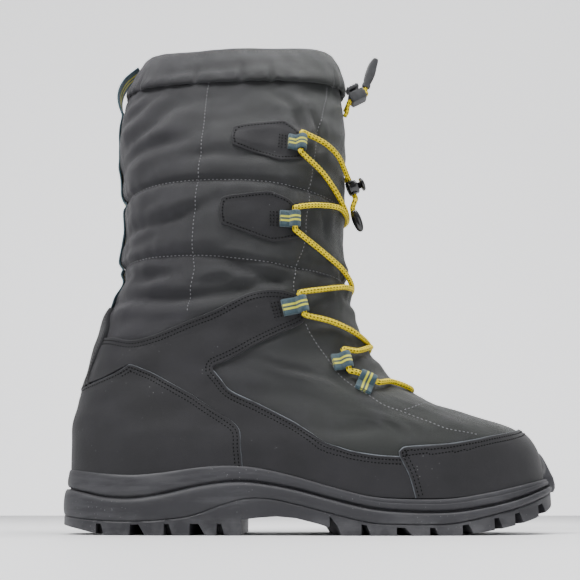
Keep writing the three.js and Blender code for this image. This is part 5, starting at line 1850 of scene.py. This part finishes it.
@dataclass
class Lacing:
    """Elastic lace, its lock and end bead, and the collar's drawcord with its lock and tab."""

    loops: LaceLoops = field(default_factory=LaceLoops)
    radius: float = 1.75
    drawcord_radius: float = 1.5
    lead: float = 1.6
    rise: float = 2.8
    crossings: tuple[tuple[tuple[float, float], ...], ...] = (
        ((11.3, -0.69), (10.82, -0.4), (10.55, 0), (10.58, 0.4), (10.45, 0.76)),
        ((9.15, -0.7), (8.45, -0.36), (7.85, 0), (7.65, 0.4), (7.4, 0.72)),
        ((6.4, -0.72), (6.2, -0.42), (6.0, 0), (5.85, 0.3), (5.66, 0.58)),
    )
    vamp_bar: tuple[tuple[float, float], ...] = ((4.72, -0.52), (4.6, -0.2), (4.6, 0.2), (4.72, 0.52))
    ends: tuple[tuple[tuple[float, float], ...], ...] = (
        ((12.13, -0.89), (12.0, -0.68), (11.8, -0.48)),
        ((12.13, -0.89), (12.0, -0.68), (11.85, -0.42), (11.7, -0.12)),
    )
    bead_top: Array = field(default_factory=lambda: np.array([183.2, -11, 209.0]))
    bead_axis: Array = field(default_factory=lambda: unit(np.array([0.34, 0, -1.0])))

    def over(self, route: tuple[tuple[float, float], ...], side: int, more: float = 0.0) -> Array:
        """Points over the upper for a cord that starts on the given side."""
        table = np.array(route)
        return LAST.lifted(table[:, 0], -side * table[:, 1], np.full(len(table), self.rise + more))

    def route(self) -> Array:
        """Whole laced length, from the lower side of one top loop round to the other.

        It passes down through the loops from side to side, across the vamp and back up.
        """
        exits = self.loops.eye_exit
        points: list[Array] = []

        def down(side: int) -> None:
            for index, crossing in enumerate(self.crossings):
                points.extend([exits(index, side, -1), exits(index, side, -1, self.lead)])
                points.extend(self.over(crossing, side))
                side = -side
                points.extend([exits(index + 1, side, 1, self.lead), exits(index + 1, side, 1)])
            points.extend([exits(3, side, -1), exits(3, side, -1, self.lead)])
            points.extend([exits(4, side, 1, self.lead), exits(4, side, 1)])

        down(-1)
        first = list(points)
        points.clear()
        down(1)
        second = list(points)
        bar = self.over(self.vamp_bar, 1)
        middle = [exits(4, 1, -1), exits(4, 1, -1, self.lead), *bar, exits(4, -1, -1, self.lead),
                  exits(4, -1, -1)]
        return np.array(first + middle + second[::-1])

    def lace_pieces(self) -> tuple[list[bpy.types.Object], list[Array]]:
        """Lace: the laced length, and the two free ends that pass through the lock.

        Returns:
            The three pieces, and the middle lines of both free ends.
        """
        cord = Finish.CORD.material
        line = smooth_path(self.route(), 900)
        nodes = ("lace_crossing_1", "lace_crossing_2", "lace_crossing_3", "lace_link_lateral",
                 "lace_link_medial",
                 "lace_vamp_bar")
        made = [piece("lace_through_loops", tube(line, self.radius, 12), cord, nodes)]
        exits = self.loops.eye_exit
        through = [LACE_LOCK.mouth(1, -1.0, -3.0), LACE_LOCK.at - LACE_LOCK.axes()[:, 0] * 0.4,
                   LACE_LOCK.mouth(-1, 0, -2.0)]
        tail = [LACE_LOCK.mouth(-1, 0), LACE_LOCK.mouth(-1, 0, 2.5), np.array([184.3, -11.6, 216.0]),
                self.bead_top - self.bead_axis * 1.8, self.bead_top + self.bead_axis * 2.0]
        lateral = [exits(0, -1, 1), exits(0, -1, 1, self.lead), *self.over(self.ends[0], -1, 1.0),
                   LACE_LOCK.mouth(1, -1.95, 2.5), LACE_LOCK.mouth(1, -1.95), *through, *tail]
        medial = [exits(0, 1, 1), exits(0, 1, 1, self.lead), *self.over(self.ends[1], 1),
                  LACE_LOCK.mouth(1, 1.95, 2.5), LACE_LOCK.mouth(1, 1.95), LACE_LOCK.mouth(1, 1.9, -3.5)]
        outer = smooth_path(np.array(lateral), 190)
        inner = smooth_path(np.array(medial), 130)
        made.append(piece("lace_end_outer", tube(outer, self.radius, 12), cord,
                          ("lace_end_lateral", "lace_tail")))
        made.append(piece("lace_end_inner", tube(inner, self.radius, 12), cord, ("lace_end_medial",)))
        return made, [outer, inner]

    def lace_lock(self) -> list[bpy.types.Object]:
        """Barrel lock on the lace: a round body with the cord's channel and a domed button."""
        matrix = LACE_LOCK.matrix()
        rim = np.array([[0.0, 0.0], [3.6, 0.0], [4.4, 0.2], [4.85, 0.8], [4.9, 1.6], [4.9, 5.6], [4.85, 6.4],
                        [4.5, 7.1],
                        [3.7, 7.4], [2.7, 7.4], [2.6, 7.0], [2.6, 4.95], [0.0, 4.95]])
        body = moved(lathe(rim, 40), matrix)
        collar = np.array([[4.8, 0.5], [5.15, 0.6], [5.15, 1.5], [4.8, 1.6], [4.8, 0.5]])
        ring = moved(lathe(collar, 40), matrix)
        lips = []
        for way in (-1, 1):
            turn = np.linspace(0, 2 * np.pi, 40)
            axes = LACE_LOCK.axes()
            mouth = LACE_LOCK.mouth(way, 0, -1.1)
            line = mouth + 4.0 * np.cos(turn)[:, None] * axes[:, 0] + 2.4 * np.sin(turn)[:, None] * axes[:, 2]
            lips.append(tube(line, 0.65, 8, loop=True))
        button = moved(lathe(np.array([[0.0, 7.1], [2.3, 7.1], [2.3, 9.6], [3.9, 9.7], [4.5, 9.9],
                                       [4.75, 10.4], [4.7, 11.1],
                                       [4.2, 11.7], [3.2, 12.05], [1.8, 12.1], [0.9, 11.9], [0.0, 11.85]]),
                                       40), matrix)
        gloss = Finish.GLOSS.material
        return [
            piece("lace_lock_barrel", joined([body, ring] + lips), gloss, ("lace_lock_body",)),
            piece("lace_lock_plunger", button, gloss, ("lace_lock_button",), body="lace_button"),
        ]

    def bead(self) -> bpy.types.Object:
        """Oval bead on the end of the lace."""
        profile = np.array([[0.0, -15.5], [0.8, -15.3], [1.7, -14.6], [2.5, -13], [3.0, -10.5], [3.2, -8],
                            [3.2, -5.5],
                            [2.95, -3], [2.5, -1.2], [2.2, -0.2], [1.9, 0.0], [0.0, 0.0]])
        up = -self.bead_axis
        side = unit(np.cross(up, [0.0, 1.0, 0.0]))
        matrix = np.eye(4)
        matrix[:3, :3] = np.stack([side, np.cross(up, side), up], axis=1)
        matrix[:3, 3] = self.bead_top
        return piece("lace_end_bead", moved(lathe(profile, 36), matrix), Finish.GLOSS.material,
                     ("lace_bead",))

    def collar_pieces(self) -> tuple[list[bpy.types.Object], Array]:
        """Drawcord, its block lock with a ribbed button, and the moulded pull tab.

        Returns:
            The pieces, and the drawcord's middle line.
        """
        matt, cord = Finish.MATT.material, Finish.CORD.material
        lock = COLLAR_LOCK
        foot = np.array([194.2, -3.0, 304.4])
        lean = np.array([math.sin(0.3), 0.0, math.cos(0.3)])
        lower = np.array([[178.8, -4.8, 281.5], [180.4, -4.8, 284.5], [181.0, -4.7, 288.5],
                          lock.mouth(-1, 1.7, 1.4),
                          lock.mouth(-1, 1.5), lock.mouth(-1, 0.8, -4), lock.at, lock.mouth(1, 0, -2.0),
                          lock.mouth(1, 0, 0.8),
                          foot + [-0.25, 0, -0.9], foot + lean * 3.0])
        upper = np.array([[179.4, -1.3, 287.0], [180.6, -1.3, 289.5], [181.3, -1.3, 291.4],
                          lock.mouth(-1, -1.7, 1.2),
                          lock.mouth(-1, -1.7), lock.mouth(-1, -1.5, -4)])
        drawcord = smooth_path(lower, 120)
        leg = smooth_path(upper, 50)
        body = moved(rounded_bar(5.0, 5.5, 1.2, np.array([0.0, 7.6])), lock.matrix())
        head = moved(rounded_bar(4.0, 4.7, 1.0, np.array([9.9, 12.3])), lock.matrix())
        stem = moved(lathe(np.array([[0.0, 7.1], [2.3, 7.1], [2.3, 10.2], [0.0, 10.2]]), 24), lock.matrix())
        ribs = [moved(moved(rounded_bar(3.4, 0.45, 0.35, np.array([12.1, 13.0]), 0.2, 24), shift((0, y, 0))),
                      lock.matrix())
                for y in (-3.3, -1.1, 1.1, 3.3)]
        shoulders = [moved(moved(rounded_bar(4.6, 0.5, 0.4, np.array([1.0, 7.0]), 0.2, 24),
                                 shift((0, y, 0))), lock.matrix())
                     for y in (-5.4, 5.4)]
        tab_turn = np.eye(4)
        tab_turn[:3, :3] = np.stack([np.array([lean[2], 0, -lean[0]]), np.array([0.0, 1.0, 0.0]), lean],
                                    axis=1)
        tab_turn[:3, 3] = foot
        made = [
            piece("drawcord_leg_lower", tube(drawcord, self.drawcord_radius, 12), cord,
                  ("collar_cord_lower", "collar_cord_neck")),
            piece("drawcord_leg_upper", tube(leg, self.drawcord_radius, 12), cord, ("collar_cord_upper",)),
            piece("collar_lock_block", joined([body] + shoulders), matt, ("collar_lock_body",)),
            piece("collar_lock_plunger", joined([head, stem] + ribs), matt, ("collar_lock_button",),
                  body="collar_button"),
            piece("collar_pull_tab", moved(self.tab(), tab_turn), matt, ("collar_tab",)),
        ]
        return made, drawcord

    def tab(self) -> Sheet:
        """Flat tab: widths and middles down its length, with rounded edges, a nick near its foot."""
        rows = np.array([[0.0, 0.0, 0.0], [0.0, 2.3, 0.0], [0.5, 2.9, 0.0], [2.5, 3.0, -0.1], [4, 2.6, -0.1],
                         [5.5, 3.0, -0.1],
                         [9, 3.4, 0.0], [13, 3.5, 0.1], [18, 3.1, 0.1], [21.5, 2.5, 0.5], [23.4, 1.9, 0.7],
                         [24.1, 1.2, 0.7],
                         [24.3, 0.0, 0.7]])
        fine = smooth_path(rows, 46)
        turn = np.linspace(0, 2 * np.pi, 28, endpoint=False)
        box = lambda value, power: np.sign(value) * np.abs(value) ** power
        x = box(np.cos(turn), 0.55)[None] * fine[:, 1:2] + fine[:, 2:3]
        thick = 1.8 * np.clip(fine[:, 1:2] / 1.6, 0, 1)
        y = box(np.sin(turn), 0.55)[None] * thick
        return grid_sheet(np.stack([x, y, np.broadcast_to(fine[:, :1], x.shape)], axis=-1), wrap=True)


def shift(offset: tuple[float, float, float]) -> Array:
    """Matrix of a plain shift."""
    made = np.eye(4)
    made[:3, 3] = offset
    return made


# ------------------------------------------------------------------ studio
@dataclass
class Studio:
    """Floor, soft lights and the camera."""

    camera_at: tuple[float, float, float] = (140.5, -551.0, 13.4)
    pitch: float = 14.6
    lens: float = 52.76
    aimed_at: tuple[float, float, float] = (0.0, 0.0, 0.15)
    ambient: float = 0.2

    def camera(self) -> None:
        """Camera low beside the boot, looking level across it and tipped up."""
        data = bpy.data.cameras.new("camera")
        data.lens = self.lens
        data.sensor_width = 36.0
        data.clip_start = 0.01
        made = bpy.data.objects.new("camera", data)
        made.location = (np.array(self.camera_at) - CENTRE) / 1000.0
        made.rotation_euler = Euler((math.radians(90 + self.pitch), 0.0, 0.0))
        bpy.context.collection.objects.link(made)
        bpy.context.scene.camera = made

    def light(self, name: str, at: tuple[float, float, float], size: float, power: float) -> None:
        """Square soft light that faces the boot.

        Args:
            name: its name.
            at: its place in metres.
            size: side length.
            power: watts.
        """
        data = bpy.data.lights.new(name, "AREA")
        data.size = size
        data.energy = power
        made = bpy.data.objects.new(name, data)
        made.location = at
        aim = np.array(self.aimed_at) - np.array(at)
        made.rotation_euler = Euler((math.acos(-aim[2] / np.linalg.norm(aim)), 0.0,
                                     math.atan2(-aim[0], aim[1])))
        bpy.context.collection.objects.link(made)

    def build(self) -> None:
        """Make floor, light and camera."""
        for name, corners, finish in (
                ("floor", [(-4, -4, 0), (4, -4, 0), (4, 2.4, 0), (-4, 2.4, 0)], Finish.FLOOR),
                ("backdrop", [(-6, 2.4, -0.01), (6, 2.4, -0.01), (6, 2.4, 5), (-6, 2.4, 5)],
                 Finish.BACKDROP)):
            mesh = bpy.data.meshes.new(name)
            mesh.from_pydata(corners, [], [(0, 1, 2, 3)])
            mesh.materials.append(finish.material)
            made = bpy.data.objects.new(name, mesh)
            bpy.context.collection.objects.link(made)
        world = bpy.data.worlds.new("studio")
        world.use_nodes = True
        background = world.node_tree.nodes["Background"]
        background.inputs[0].default_value = (0.83, 0.83, 0.85, 1.0)
        background.inputs[1].default_value = self.ambient
        bpy.context.scene.world = world
        # name, place in metres, side in metres, watts
        for light in (("key", (-0.65, -0.6, 1.3), 0.5, 27), ("fill", (1.0, -1.2, 0.5), 1.0, 6),
                      ("top", (0.35, -0.1, 1.35), 0.7, 22)):
            self.light(*light)
        self.camera()


def main() -> None:
    logging.basicConfig(level=logging.INFO, format="%(name)s %(message)s")
    Studio().build()
    lacing = Lacing()
    (_, outer_end, inner_end), (outer_line, inner_line) = lacing.lace_pieces()
    lock = lacing.lace_lock()
    bead = lacing.bead()
    collar, drawcord = lacing.collar_pieces()
    CupSole().build()
    Shaft().build()
    Overlays().build()
    ShellSeams().build()
    lacing.loops.build()


if __name__ == "__main__":
    main()
